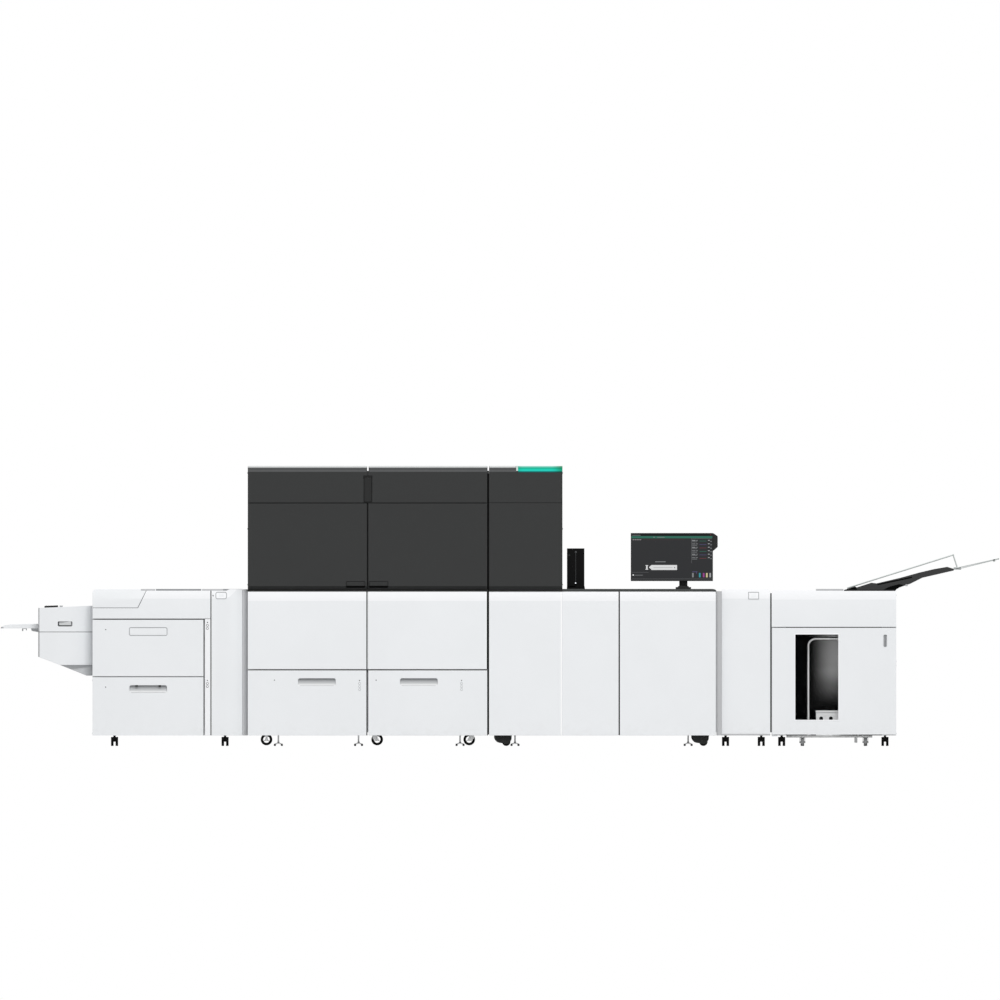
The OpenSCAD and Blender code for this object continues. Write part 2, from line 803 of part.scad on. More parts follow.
// A levelling foot: a rubber pad, a flared base and a stem up to an underside at height z
module levelling_foot(x, y, z) {
    translate([x, y, 0]) cylinder(h = 5, r = foot_r);
    translate([x, y, 5]) cylinder(h = 12, r1 = foot_r - 3, r2 = stem_r + 3);
    translate([x, y, 10]) cylinder(h = z - 10, r = stem_r);
}

exit_foot_in = end_trim_w + cover_w + 68;

module levelling_feet() color(grey) {
    for (x = [press_x + left_foot_in, press_mid - mid_wheel_in, press_x + press_w - right_foot_in,
              exit_x + cover_in + cover_w + 20, exit_x + exit_w - exit_foot_in],
         y = [press_y + wheel_y, press_back_y - wheel_y]) {
        levelling_foot(x, y, frame_z);
    }
}

// A boxy hood over a caster, with the wheel's rim below it
module caster_cover(x, y) {
    corner = 34;
    low = 16;
    rim_r = 28;
    front_shape(y, cover_w) union() {
        translate([x + corner, low]) square([cover_w - corner, frame_z - low]);
        translate([x, low + corner]) square([cover_w, frame_z - low - corner]);
        translate([x + corner, low + corner]) circle(corner);
    }
    translate([x + 0.68 * cover_w, y + cover_w / 2 + 25, rim_r]) rotate([90, 0, 0])
        cylinder(h = 50, r = rim_r);
}

module caster_covers() color(black) {
    for (x = [exit_x + cover_in, exit_x + exit_w - exit_foot_in + 20],
         y = [press_y + 30, press_back_y - 30 - cover_w]) {
        caster_cover(x, y);
    }
}

base_w = exit_w - end_trim_w;

module exit_base() color(white) difference() {
    block(exit_x, press_core_y, frame_z, base_w, press_back_y - press_core_y, ledge_z - frame_z);
    back_vent(exit_x + vent_in, press_back_y, low_vent_z);
    back_vent(exit_x + base_w - vent_in - vent_w, press_back_y, vent_z);
}

module exit_tower() color(dark) difference() {
    block(exit_x, press_core_y, ledge_z, tower_w, press_back_y - press_core_y, trim_z - ledge_z);
    back_vent(exit_x + (tower_w - vent_w) / 2, press_back_y, high_vent_z);
    right_vent(exit_x + tower_w, side_vent_y, ledge_z + vent_drop);
}

// The gaskets that close the gaps between docked modules
module docking_plates() color(black) {
    low = cabinet_z + leaf_gap;
    block(press_x + press_w, press_core_y + dock_inset, low, press_gap,
        press_back_y - press_core_y - 2 * dock_inset, trim_z - dock_inset - low);
    block(decurler_x + decurler_w, module_core_y + dock_inset, cabinet_z + dock_inset, dock_gap,
        module_depth - cover_t - 2 * dock_inset, stacker_h - cabinet_z - 2 * dock_inset);
}

module exit_dark_cover() color(dark) difference() {
    block(exit_x, press_y, ledge_z, tower_w, cover_t, band_z - seam - ledge_z);
    rim_cut(exit_x, ledge_z, tower_w);
}

module end_trim() color(grey) {
    block(decurler_x - end_trim_w, press_y, cabinet_z, end_trim_w, press_depth, ledge_z - cabinet_z);
}

module worktop() color("#404342") {
    end_x = exit_x + exit_w - end_trim_w;
    front_shape(press_y, press_depth) union() {
        translate([exit_x + tower_w, ledge_z]) square([end_x - worktop_t - exit_x - tower_w, worktop_t]);
        intersection() {
            translate([end_x - worktop_t, ledge_z]) circle(worktop_t);
            translate([end_x - worktop_t, ledge_z]) square(worktop_t);
        }
    }
}

module computer() color(black) {
    block(exit_x + tower_w + computer_in, press_y + computer_back, worktop_z, computer_w, computer_d,
        computer_h);
}

module monitor_stand() color(black) {
    foot_t = 12;
    neck_t = 18;
    block(tilt_x - stand_w / 2, monitor_y - 20, worktop_z, stand_w, 190, foot_t);
    block(tilt_x - neck_w / 2, tilt_y - neck_t / 2, worktop_z + foot_t, neck_w, neck_t,
        tilt_z - worktop_z - foot_t);
    translate([tilt_x - neck_w / 2 - 14, tilt_y, tilt_z]) rotate([0, 90, 0])
        cylinder(h = neck_w + 28, r = tilt_pin_r);
    translate([tilt_x - neck_w / 2, tilt_y, tilt_z]) rotate([0, 90, 0]) cylinder(h = neck_w, r = neck_t / 2);
}

// The ear at the monitor's upper right corner
module monitor_ear() {
    front_shape(monitor_y + 10, 16) translate([monitor_x + monitor_w, worktop_z + monitor_lift + monitor_h])
        polygon([[-1, -2], [5, -2], [32, -21], [32, -93], [3, -118], [-1, -118]]);
}

module monitor_head() color(black) {
    lug_t = 12;
    lug_r = 14;
    block(monitor_x, monitor_y, worktop_z + monitor_lift, monitor_w, monitor_t, monitor_h);
    monitor_ear();
    for (side = [-1, 1]) {
        lug_x = tilt_x + side * (neck_w / 2 + 8) - lug_t / 2;
        difference() {
            union() {
                block(lug_x, monitor_y + monitor_t, tilt_z - lug_r, lug_t, tilt_y - monitor_y - monitor_t,
                    2 * lug_r);
                translate([lug_x, tilt_y, tilt_z]) rotate([0, 90, 0]) cylinder(h = lug_t, r = lug_r);
            }
            translate([lug_x - 1, tilt_y, tilt_z]) rotate([0, 90, 0])
                cylinder(h = lug_t + 2, r = tilt_pin_r + pin_clear);
        }
    }
}

module decurler_tower() color(white) difference() {
    front_shape(module_y, module_depth) union() {
        translate([decurler_x, cabinet_z + rail_h])
            square([decurler_w, cabinet_h - corner_r - cabinet_z - rail_h]);
        translate([decurler_x, cabinet_z + rail_h])
            square([decurler_w - corner_r, cabinet_h - cabinet_z - rail_h]);
        translate([decurler_x + decurler_w - corner_r, cabinet_h - corner_r]) circle(corner_r);
    }
    slope_cut(decurler_x, module_y, cabinet_h, decurler_w);
    back_vent(decurler_x + (decurler_w - narrow_vent_w) / 2, module_back_y, vent_z, narrow_vent_w);
}

module decurler_rail() color(grey) {
    block(decurler_x, module_y, cabinet_z, decurler_w, module_depth, rail_h);
}

stacker_bay_w = stacker_w - 2 * stacker_wall;
stacker_bay_x = stacker_x + stacker_wall;
stacker_leaf_z = cabinet_z + leaf_gap;
stacker_leaf_h = stacker_door_z - leaf_gap - stacker_leaf_z;
stacker_hinge_x = stacker_x + pin_in;

module stacker_cabinet() color(white) {
    difference() {
        block(stacker_x, module_core_y, cabinet_z, stacker_w, module_depth - cover_t, stacker_h - cabinet_z);
        block(stacker_bay_x, module_core_y - 1, cabinet_z - 1, stacker_bay_w,
            module_depth - cover_t - wall_t + 1, stacker_door_z - cabinet_z + 1);
        back_vent(stacker_x + stacker_w - vent_in - vent_w, module_back_y, vent_z);
        right_vent(stacker_x + stacker_w, module_back_y - vent_in - narrow_vent_w, vent_z, narrow_vent_w);
    }
    sloped_front(stacker_x, module_y, stacker_door_z, stacker_w, cover_t, stacker_h - stacker_door_z);
    translate([stacker_hinge_x, module_y + pin_in, stacker_leaf_z + stacker_leaf_h - pin_l + 1])
        cylinder(h = pin_l + leaf_gap, r = pin_r);
    hinge_foot();
}

// The foot that carries the stacker door's lower pin
module hinge_foot() {
    block(stacker_x, module_y, cabinet_z - 8, 40, cover_t + 20, 8);
    translate([stacker_hinge_x, module_y + pin_in, cabinet_z - 1]) cylinder(h = pin_l + leaf_gap, r = pin_r);
}

module window_shape(margin) {
    translate([stacker_x + window_x - margin, stacker_leaf_z + window_z - margin])
        rounded_rect(window_w + 2 * margin, window_h + 2 * margin, window_r + margin);
}

module stacker_door() color(white) difference() {
    leaf(stacker_hinge_x, module_y, stacker_leaf_z, stacker_w, stacker_leaf_h, 1);
    front_shape(module_y - 1, leaf_t + 2) window_shape(0);
    front_shape(module_y + leaf_t - pane_t, pane_t + 1) window_shape(10);
    front_shape(module_y - 1, 13)
        translate([stacker_x + stacker_w - 85, stacker_leaf_z + stacker_leaf_h - 128]) rounded_rect(23, 82, 8);
}

module stacker_window() color("#6a7078", 0.5) {
    front_shape(module_y + leaf_t - pane_t, pane_t) window_shape(10);
}

cart_x = stacker_x + stacker_w / 2;
cart_w = stacker_bay_w - 2 * cart_gap;
cart_wheel_r = 26;
cart_y = module_core_y + 60;

module stack_cart() color(grey) {
    block(cart_x - cart_w / 2, cart_y, cart_z, cart_w, cart_d, cart_t);
    block(cart_x - deck_w / 2, cart_y + 60, cart_z + cart_t, deck_w, cart_d - 80, deck_z - cart_z - cart_t);
    for (side = [-1, 1], y = [cart_y + 60, cart_y + cart_d - 60]) {
        x = cart_x + side * (cart_w / 2 - cart_wheel_in);
        translate([x - 22, y, cart_wheel_r]) rotate([0, 90, 0]) cylinder(h = 44, r = cart_wheel_r);
        block(x - 8, y - 16, cart_wheel_r, 16, 32, cart_z - cart_wheel_r);
    }
}

module cart_handle() color(grey) {
    bend = 50;
    y = cart_y + 40;
    for (side = [-1, 1]) {
        x = cart_x + side * handle_w / 2;
        translate([x, y, cart_z + cart_t]) cylinder(h = handle_z - bend - cart_z - cart_t, r = tube_r);
        translate([x - side * bend, y, handle_z - bend]) rotate([90, 0, 0])
            rotate([0, 0, side > 0 ? 0 : 90]) rotate_extrude(angle = 90) translate([bend, 0]) circle(tube_r);
    }
    translate([cart_x - handle_w / 2 + bend, y, handle_z]) rotate([0, 90, 0])
        cylinder(h = handle_w - 2 * bend, r = tube_r);
}

out_y = module_mid_y - out_d / 2;
tray_root = [stacker_x + out_x, stacker_h];

// A point of the tray's outline, as shares of its length and its rise
function tray_at(u, v) = tray_root + [u * out_reach, v * out_rise];

tray_tip = tray_at(0.71, 0.665);
tray_lip = tray_at(0.707, 0.613);
tray_knee = tray_at(0.737, 0.745);

module output_tray_base() color(black) {
    front_shape(out_y, out_d) polygon([
        tray_root,
        tray_at(0.074, 0.118),
        tray_at(0.085, 0.085),
        tray_at(0.179, 0.231),
        tray_at(0.213, 0.212),
        tray_at(0.365, 0.387),
        tray_at(0.487, 0.552),
        tray_at(0.581, 0.66),
        tray_at(0.666, 0.731),
        tray_tip,
        tray_lip,
        tray_at(0.506, 0.387),
        tray_at(0.429, 0.198),
        [stacker_x + stacker_w, stacker_h + 10],
        [stacker_x + stacker_w, stacker_h]]);
}

module output_tray_extension() color(grey) {
    far = tray_at(1, 1);
    front_shape(out_y + 20, out_d - 40) polygon([
        tray_lip,
        tray_at(0.743, 0.689),
        far - [0, 10],
        far,
        tray_knee,
        tray_tip]);
}

// A straight wire from a to b in the front view, at depth y
module wire(a, b, y) {
    run = b - a;
    translate([a[0], y, a[1]]) rotate([0, atan2(run[0], run[1]), 0]) cylinder(h = norm(run), r = rail_r);
}

// The wire that holds the paper down: two bent sides joined by a thicker crossbar at the top
module output_tray_rail() color(grey) {
    low = tray_at(0.0231, 0.0368) + [0, 1.1 * rail_r + 0.4];
    peak = tray_at(0.704, 0) + [0, rail_top];
    foot = tray_tip + 0.7 * (tray_knee - tray_tip) + [0, 0.15 * rail_r + 0.5];
    sides = [out_y + 40, out_y + out_d - 40];
    for (y = sides) {
        wire(low, peak, y);
        wire(peak, foot, y);
    }
    translate([peak[0], sides[1] + rail_r + 2, peak[1]]) rotate([90, 0, 0])
        cylinder(h = sides[1] - sides[0] + 2 * rail_r + 4, r = rail_r + 1);
}

inserter_upper_cover();
inserter_lower_cover();
inserter_drive_box();
inserter_controls();
inserter_tray();
feeder_cabinet();
feeder_lid();
feeder_indicator_strip();
feeder_upper_drawer_front();
feeder_upper_drawer_bin();
feeder_lower_drawer_front();
feeder_lower_drawer_bin();
interface_tower();
interface_trim();
cabinet_casters();
press_frame();
press_upper_body();
top_trim();
top_covers();
door_ledge();
press_left_door();
press_right_door();
white_panels();
press_left_drawer_front();
press_left_drawer_bin();
press_right_drawer_front();
press_right_drawer_bin();
press_wheels();
wheel_brackets();
levelling_feet();
caster_covers();
exit_base();
exit_tower();
docking_plates();
exit_dark_cover();
status_light();
end_trim();
worktop();
computer();
monitor_stand();
monitor_head();
decurler_tower();
decurler_rail();
stacker_cabinet();
stacker_door();
stacker_window();
stack_cart();
cart_handle();
output_tray_base();
output_tray_extension();
output_tray_rail();
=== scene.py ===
import math

import bmesh
import bpy
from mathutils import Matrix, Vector


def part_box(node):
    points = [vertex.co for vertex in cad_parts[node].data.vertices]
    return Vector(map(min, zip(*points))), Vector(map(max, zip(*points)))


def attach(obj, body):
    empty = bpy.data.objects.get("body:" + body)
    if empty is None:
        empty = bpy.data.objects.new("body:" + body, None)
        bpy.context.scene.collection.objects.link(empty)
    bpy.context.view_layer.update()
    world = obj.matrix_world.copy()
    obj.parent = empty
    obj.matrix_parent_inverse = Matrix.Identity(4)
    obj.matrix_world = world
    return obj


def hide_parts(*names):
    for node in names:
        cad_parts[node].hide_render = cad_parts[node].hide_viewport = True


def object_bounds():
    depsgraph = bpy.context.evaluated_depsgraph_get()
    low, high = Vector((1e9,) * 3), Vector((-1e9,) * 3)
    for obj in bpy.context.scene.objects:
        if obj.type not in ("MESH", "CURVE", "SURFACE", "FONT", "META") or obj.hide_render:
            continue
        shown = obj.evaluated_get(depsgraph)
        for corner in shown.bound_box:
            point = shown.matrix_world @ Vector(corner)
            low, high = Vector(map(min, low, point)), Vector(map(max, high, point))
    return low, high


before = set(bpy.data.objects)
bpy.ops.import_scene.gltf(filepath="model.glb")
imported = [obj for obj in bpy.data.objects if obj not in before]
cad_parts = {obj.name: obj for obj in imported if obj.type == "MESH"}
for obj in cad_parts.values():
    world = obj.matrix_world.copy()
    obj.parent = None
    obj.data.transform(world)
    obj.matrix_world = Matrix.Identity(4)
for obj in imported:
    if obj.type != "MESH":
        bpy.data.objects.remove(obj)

cad_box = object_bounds()

# ---- Press frame ----
# The lower body of the press: a welded frame clad in white sheet, with an open bay for each of
# the two lower drawers. Rear panels are screwed on and can be lifted off for service.

AXES = {"x": (1, 2, 0), "y": (0, 2, 1), "z": (0, 1, 2)}


def spot(axis, a, b, level):
    """A place from its two numbers across an axis and its level along it."""
    place = [0.0] * 3
    for index, value in zip(AXES[axis], (a, b, level)):
        place[index] = value
    return place


def walls(rings):
    """The corners of the faces between rings that follow one another."""
    return [corners for a, b in zip(rings, rings[1:])
            for corners in zip(a, a[1:] + a[:1], b[1:] + b[:1], b)]


def closed(solid, faces, skin):
    """A solid closed with faces from their corners."""
    for corners in faces:
        solid.faces.new(corners).material_index = skin
    bmesh.ops.remove_doubles(solid, verts=solid.verts, dist=1e-6)
    bmesh.ops.recalc_face_normals(solid, faces=solid.faces)
    return solid


def extrude(axis, outline, low, high, skin=0):
    """A solid from an outline pushed along an axis. The outline's numbers run along the other two."""
    solid = bmesh.new()
    rings = [[solid.verts.new(spot(axis, a, b, level)) for a, b in outline] for level in (low, high)]
    return closed(solid, [rings[0][::-1], rings[1], *walls(rings)], skin)


def rect(u, v):
    return [(u[0], v[0]), (u[1], v[0]), (u[1], v[1]), (u[0], v[1])]


def block(x, y, z, skin=0):
    """A box from its lowest and highest x, y and z."""
    return extrude("y", rect(x, z), *y, skin)


def span(base, a, b):
    """A range from a to b millimetres past a base."""
    return base + a / 1000, base + b / 1000


def between(low, high, a, b):
    """A range from a millimetres past low to b millimetres past high."""
    return low + a / 1000, high + b / 1000


def mesh_of(solid):
    mesh = bpy.data.meshes.new("work")
    solid.to_mesh(mesh)
    solid.free()
    return mesh


def joined(solids):
    """Several solids as one."""
    whole = bmesh.new()
    for solid in solids:
        mesh = mesh_of(solid)
        whole.from_mesh(mesh)
        bpy.data.meshes.remove(mesh)
    return whole


def hung(name, data):
    """An object in the scene from its data."""
    made = bpy.data.objects.new(name, data)
    bpy.context.scene.collection.objects.link(made)
    return made


def cut(blank, *tools, edge=2, steps=2):
    """Takes the tools away from a blank, then rounds the edges that are left, by so many millimetres."""
    work, tool = hung("work", mesh_of(blank)), None
    if tools:
        tool = hung("tool", mesh_of(joined(tools)))
        boolean = work.modifiers.new("cut", "BOOLEAN")
        boolean.operation, boolean.solver, boolean.object = "DIFFERENCE", "EXACT", tool
        boolean.material_mode, boolean.use_self = "INDEX", len(tools) > 1
    if edge:
        bevel = work.modifiers.new("edge", "BEVEL")
        bevel.width, bevel.segments, bevel.limit_method = edge / 1000, steps, "ANGLE"
        bevel.angle_limit = math.radians(35)
        bevel.miter_outer = "MITER_ARC"
    shaped = bpy.data.meshes.new_from_object(work.evaluated_get(bpy.context.evaluated_depsgraph_get()))
    solid = bmesh.new()
    solid.from_mesh(shaped)
    for done in filter(None, (work, tool)):
        mesh = done.data
        bpy.data.objects.remove(done)
        bpy.data.meshes.remove(mesh)
    bpy.data.meshes.remove(shaped)
    return solid


def blank(node):
    """A copy of a CAD node's shape with its flat faces whole again, ready to be worked."""
    solid = bmesh.new()
    solid.from_mesh(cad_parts[node].data)
    bmesh.ops.remove_doubles(solid, verts=solid.verts, dist=2e-6)
    bmesh.ops.dissolve_limit(solid, angle_limit=math.radians(0.5), verts=solid.verts, edges=solid.edges)
    return skinned(solid, 0)


def piece(name, slot, finishes, solids, *nodes, body="line"):
    """A finished piece of the press: its solids in one mesh, riding on a body, standing for CAD nodes."""
    whole = joined(solids)
    whole.edges.index_update()
    creases = [edge.index for edge in whole.edges if len(edge.link_faces) == 2
               and min(face.calc_area() for face in edge.link_faces) > 0.003
               and 0.15 < edge.calc_face_angle() < 0.25]
    mesh = mesh_of(whole)
    made = hung(name, mesh)
    for finish in finishes:
        mesh.materials.append(finish.material)
    mesh.shade_smooth()
    mesh.set_sharp_from_angle(angle=math.radians(34))
    for index in creases:
        mesh.edges[index].use_edge_sharp = True
    made.modifiers.new("normals", "WEIGHTED_NORMAL").keep_sharp = True
    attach(made, body)
    if nodes:
        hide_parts(*nodes)


class Tint:
    """A value or colour on its way through a finish's nodes, so that sums read as Python."""

    def __init__(self, finish, socket):
        self.finish, self.socket = finish, socket

    def sum(self, operation, *values):
        return self.finish.node("ShaderNodeMath", {"operation": operation}, dict(enumerate(values)))

    def __add__(self, other):
        return self.sum("ADD", self, other)

    def __sub__(self, other):
        return self.sum("SUBTRACT", self, other)

    def __rsub__(self, other):
        return self.sum("SUBTRACT", other, self)

    def __mul__(self, other):
        return self.sum("MULTIPLY", self, other)

    __radd__, __rmul__ = __add__, __mul__


def colour(code, share=1.0):
    """A web colour as the linear numbers that a shader takes, made lighter or darker by a share."""
    parts = [int(code[i:i + 2], 16) / 255 for i in (0, 2, 4)]
    linear = [p / 12.92 if p <= 0.04045 else ((p + 0.055) / 1.055) ** 2.4 for p in parts]
    return tuple(min(1.0, p * share) for p in linear) + (1.0,)


class Finish:
    """A surface finish: one material, whose nodes are laid out in code."""

    def __init__(self, name, **constants):
        self.material = bpy.data.materials.new(name)
        self.material.use_nodes = True
        self.tree = self.material.node_tree
        self.tree.nodes.clear()
        self.surface = self.tree.nodes.new("ShaderNodeBsdfPrincipled")
        end = self.tree.nodes.new("ShaderNodeOutputMaterial")
        self.tree.links.new(self.surface.outputs[0], end.inputs[0])
        self.feed(**constants)

    def feed(self, **sockets):
        """Sets or links sockets of the surface; a space in a socket's name is written as _."""
        for name, value in sockets.items():
            self.plug(self.surface.inputs[name.replace("_", " ")], value)

    def plug(self, socket, value):
        if isinstance(value, Tint):
            self.tree.links.new(value.socket, socket)
        else:
            socket.default_value = value

    def node(self, kind, settings=None, sockets=None, out=0):
        """Any other node: its settings are set first, then the values or links of its sockets."""
        made = self.tree.nodes.new(kind)
        for name, value in (settings or {}).items():
            if name == "stops":
                ramp = made.color_ramp.elements
                for i, (place, tone) in enumerate(value):
                    stop = ramp[i] if i < 2 else ramp.new(place)
                    stop.position, stop.color = place, colour(tone)
            else:
                setattr(made, name, value)
        for name, value in (sockets or {}).items():
            self.plug(made.inputs[name], value)
        return Tint(self, made.outputs[out])

    def place(self):
        """The point on the object, in metres."""
        return self.node("ShaderNodeTexCoord", out="Object")

    def axis(self, name):
        """One coordinate of the point, in metres."""
        return self.node("ShaderNodeSeparateXYZ", sockets={0: self.place()}, out=name)

    def noise(self, scale, detail=2.0, stretch=(1, 1, 1)):
        """Soft noise from 0 to 1 with so many lumps a metre."""
        drawn = self.node("ShaderNodeMapping", sockets={"Vector": self.place(), "Scale": stretch})
        return self.node("ShaderNodeTexNoise", sockets={"Vector": drawn, "Scale": scale, "Detail": detail})

    def band(self, value, low, high):
        """0 below low, 1 above high, smooth between."""
        return self.node("ShaderNodeMapRange", {"interpolation_type": "SMOOTHSTEP"},
                         {"Value": value, "From Min": low, "From Max": high})

    def mix(self, share, a, b):
        """Colour a turning to colour b as share goes from 0 to 1."""
        a, b = (colour(tone) if isinstance(tone, str) else tone for tone in (a, b))
        return self.node("ShaderNodeMix", {"data_type": "RGBA"}, {0: share, 6: a, 7: b}, out=2)

    def relief(self, grain, depth, strength=0.4):
        """Raises the surface in fine lumps, so many a metre and so many millimetres high."""
        sockets = {"Height": self.noise(grain, 3.0), "Distance": depth / 1000, "Strength": strength}
        self.feed(Normal=self.node("ShaderNodeBump", sockets=sockets))


def painted(name, code, rough=0.5, grain=900, depth=0.1, spread=0.03, dust=0.0, shine=0.5, metal=0.0):
    """Textured paint or moulding: fine orange peel, a slight drift in tone and gloss, dust low down."""
    coat = Finish(name, Specular_IOR_Level=shine, Metallic=metal)
    drift = coat.band(coat.noise(3.0), 0.35, 0.65)
    tone = coat.mix(drift, colour(code, 1 - spread), colour(code, 1 + spread))
    if dust:
        low = (1 - coat.band(coat.axis("Z"), 0.07, 0.22)) * coat.band(coat.noise(28.0, 4.0), 0.45, 0.75)
        tone = coat.mix(low * dust, tone, "b9b5ac")
    coat.feed(Base_Color=tone, Roughness=coat.noise(14.0) * 0.1 + (rough - 0.05))
    coat.relief(grain, depth, 0.5)
    return coat


white = painted("white_coat", "e7e9eb", 0.42, 700, 0.12, 0.006, 0.06)


def lathe(axis, centre, profile, steps=24, skin=0):
    """A turned solid: its profile is (radius, distance along the axis) in millimetres, end to end."""
    solid, rings = bmesh.new(), []
    for radius, along in profile:
        ring = []
        for i in range(steps):
            turn = 2 * math.pi * i / steps
            arm = spot(axis, radius / 1000 * math.cos(turn), radius / 1000 * math.sin(turn), along / 1000)
            ring.append(solid.verts.new([c + a for c, a in zip(centre, arm)]))
        rings.append(ring)
    return closed(solid, [*walls(rings), rings[0], rings[-1]], skin)


def screws(axis, face, out, places):
    """Round-headed screws with a socket, standing out of a flat face."""
    head = [(5, 0), (4.75, out * 1.5), (3, out * 2.5), (2.1, out * 2.5), (1.9, out * 0.75), (0, out * 0.75)]
    return [lathe(axis, spot(axis, u, v, face), head, 12) for u, v in places]


def rim_places(u, v):
    """Screw places round the rim of a panel."""
    step, inset, places = 0.32, 0.014, []
    for (a, b), fixed, upright in ((u, v, False), (v, u, True)):
        count = max(1, round((b - a - 2 * inset) / step))
        for i in range(upright, count + (not upright)):
            along = a + inset + (b - a - 2 * inset) * i / count
            for side in (fixed[0] + inset, fixed[1] - inset):
                places.append((side, along) if upright else (along, side))
    return places


SEAM, BACK_SEAM_Z, UPPER_SEAM_Z = 0.003, 0.52, 1.43


def cladding(axis, face, out, us, vs):
    """Seams and screws that part a flat face into panels at us and vs.
    Returns the tools to cut and the screws to add; out is the sign of the way out of the body."""
    levels = sorted((face - out * 0.0045, face + out * 0.01))
    strips = [rect((u - SEAM / 2, u + SEAM / 2), between(vs[0], vs[-1], -10, 10)) for u in us[1:-1]]
    strips += [rect(between(us[0], us[-1], -10, 10), (v - SEAM / 2, v + SEAM / 2)) for v in vs[1:-1]]
    heads = [head for u in zip(us, us[1:]) for v in zip(vs, vs[1:])
             for head in screws(axis, face, out, rim_places(u, v))]
    return [extrude(axis, strip, *levels) for strip in strips], heads


def skinned(solid, skin, chosen=lambda face: True):
    """Gives the faces that a test picks, or all of them, another of the piece's finishes."""
    for face in solid.faces:
        if chosen(face):
            face.material_index = skin
    return solid


def bisected(solid, parts, axis, level, **settings):
    way = Vector([float(name == axis) for name in "xyz"])
    bmesh.ops.bisect_plane(solid, geom=parts, plane_co=way * level, plane_no=way, **settings)


def squared(solid, front):
    """Parts a front with openings along the lines of its corners, so that it is made of plain oblongs."""
    def flush(part):
        return all(abs(vert.co.y - front) < 1e-4 for vert in part.verts)

    def slants(edge):
        a, b = (vert.co for vert in edge.verts)
        return abs(a.x - b.x) > 1e-4 and abs(a.z - b.z) > 1e-4

    corners = [vert.co.copy() for vert in solid.verts if abs(vert.co.y - front) < 1e-4]
    for axis in "xz":
        for level in sorted({round(getattr(corner, axis), 5) for corner in corners}):
            faces = [face for face in solid.faces if flush(face)]
            edges = {edge for face in faces for edge in face.edges}
            verts = {vert for face in faces for vert in face.verts}
            bisected(solid, [*verts, *edges, *faces], axis, level, dist=1e-5)
    bridges = [edge for edge in solid.edges if len(edge.link_faces) == 2 and slants(edge)
               and all(flush(face) for face in edge.link_faces)]
    bmesh.ops.dissolve_edges(solid, edges=bridges)
    return solid


def carcass(node, us, vs, sides=(), shape=None):
    """A closed housing made from its CAD shape, clad at the back and on the sides that are named, and its
    screws. A side is (sign of the way out, ys, zs). At the line's deepest back the cladding is set in."""
    low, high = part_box(node)
    shape, behind = shape or blank(node), high.y
    if behind > cad_box[1].y - 0.001:
        behind -= 0.003
        rim = block((low.x - 1, high.x + 1), (behind, behind + 0.02), (low.z - 1, high.z + 1))
        shape = cut(shape, rim, edge=0)
    tools, heads = cladding("y", behind, 1, us, vs)
    for out, ys, zs in sides:
        more = cladding("x", high.x if out > 0 else low.x, out, ys, zs)
        tools, heads = tools + more[0], heads + more[1]
    return [cut(shape, *tools, edge=1), *heads]


lower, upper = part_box("press_frame")
seal_x = between(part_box("press_left_drawer_front")[1].x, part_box("press_right_drawer_front")[0].x, 0.4, -0.4)
seal = block(seal_x, span(lower.y, -3, 2), between(lower.z, upper.z, 4, -1))
frame_shell = carcass("press_frame", [lower.x, lower.x + 0.53, lower.x + 1.07, upper.x],
                      [lower.z, BACK_SEAM_Z, upper.z], shape=squared(blank("press_frame"), lower.y))
piece("press_lower_body", "white_cover", [white], [*frame_shell, seal], "press_frame")

# ---- Press upper body ----
# The dark half of the press and the dark tower beside it: steel boxes clad in dark textured
# sheet, with vents for the dryer and the electronics in their rear and side panels.

dark = painted("dark_coat", "262727", 0.5, 520, 0.2, 0.015, shine=0.3)
black = painted("black_moulding", "101111", 0.5, 900, 0.15, 0.04, shine=0.3)
# Near-black, for black parts and as painted shade in joints and in the door pulls.
near_black_and_shade = painted("near_black_and_painted_shade", "020202", 0.8, 900, 0.1, 0.04, shine=0.05)
# Darker paint for the lower rims of the dark covers, where they lean back to face down: painted shade.
lower_rim_shade = painted("painted_lower_rim_shade", "191a1a", 0.6, 520, 0.2, 0.02, shine=0.2)
for node, name, seams, out, front in (("press_upper_body", "press_upper_shell", (0.53, 1.07), -1, 0.06),
                                      ("exit_tower", "exit_tower_shell", (), 1, 0.01)):
    low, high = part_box(node)
    side = (out, [low.y + front, 0.0, high.y - 0.003], [1.06, high.z])
    us = [low.x, *(low.x + seam for seam in seams), high.x]
    piece(name, "dark_cover", [dark], carcass(node, us, [low.z + 0.004, UPPER_SEAM_Z, high.z], [side]), node)

# ---- Top trims ----
# Dark lids over the press and the tower, one a cabinet. Each has a moulded front bar with a round
# edge that catches the light, with a pale highlight painted along it, and behind it a screwed sheet
# with the dryer's vents.


def formed(node, *tools, edge=2):
    """A CAD node's shape, cut and with its edges rounded."""
    return cut(blank(node), *tools, edge=edge)


low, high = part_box("top_trim")
BAR_D = 0.12
top, bar_y = high.z - 0.003, low.y + BAR_D
wide, tall = (low.x - 1, high.x + 1), (low.z - 1, high.z + 1)
front = formed("top_trim", block(wide, (bar_y, 1), tall), edge=0)
sheet = formed("top_trim", block(wide, (-1, bar_y), tall), block(wide, (bar_y - 1, 1), (top, top + 0.02)),
               block(wide, (high.y - 0.003, 1), tall), edge=0)
tools, heads, fascias = [], [], []
for start, seam, end in ((low.x, low.x + 0.3975, low.x + 0.79),
                         (low.x + 0.81, low.x + 1.2025, low.x + 1.595),
                         (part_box("exit_tower")[0].x, None, high.x)):
    us = [start, seam, end] if seam else [start, end]
    more = cladding("z", top, 1, us, [bar_y, 0.02, high.y - 0.006])
    tools, heads = tools + more[0], heads + more[1]
    fascias.append(block((start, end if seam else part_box("status_light")[0].x), span(low.y, -0.6, 5),
                         span(low.z, -6, 6.2), 1))
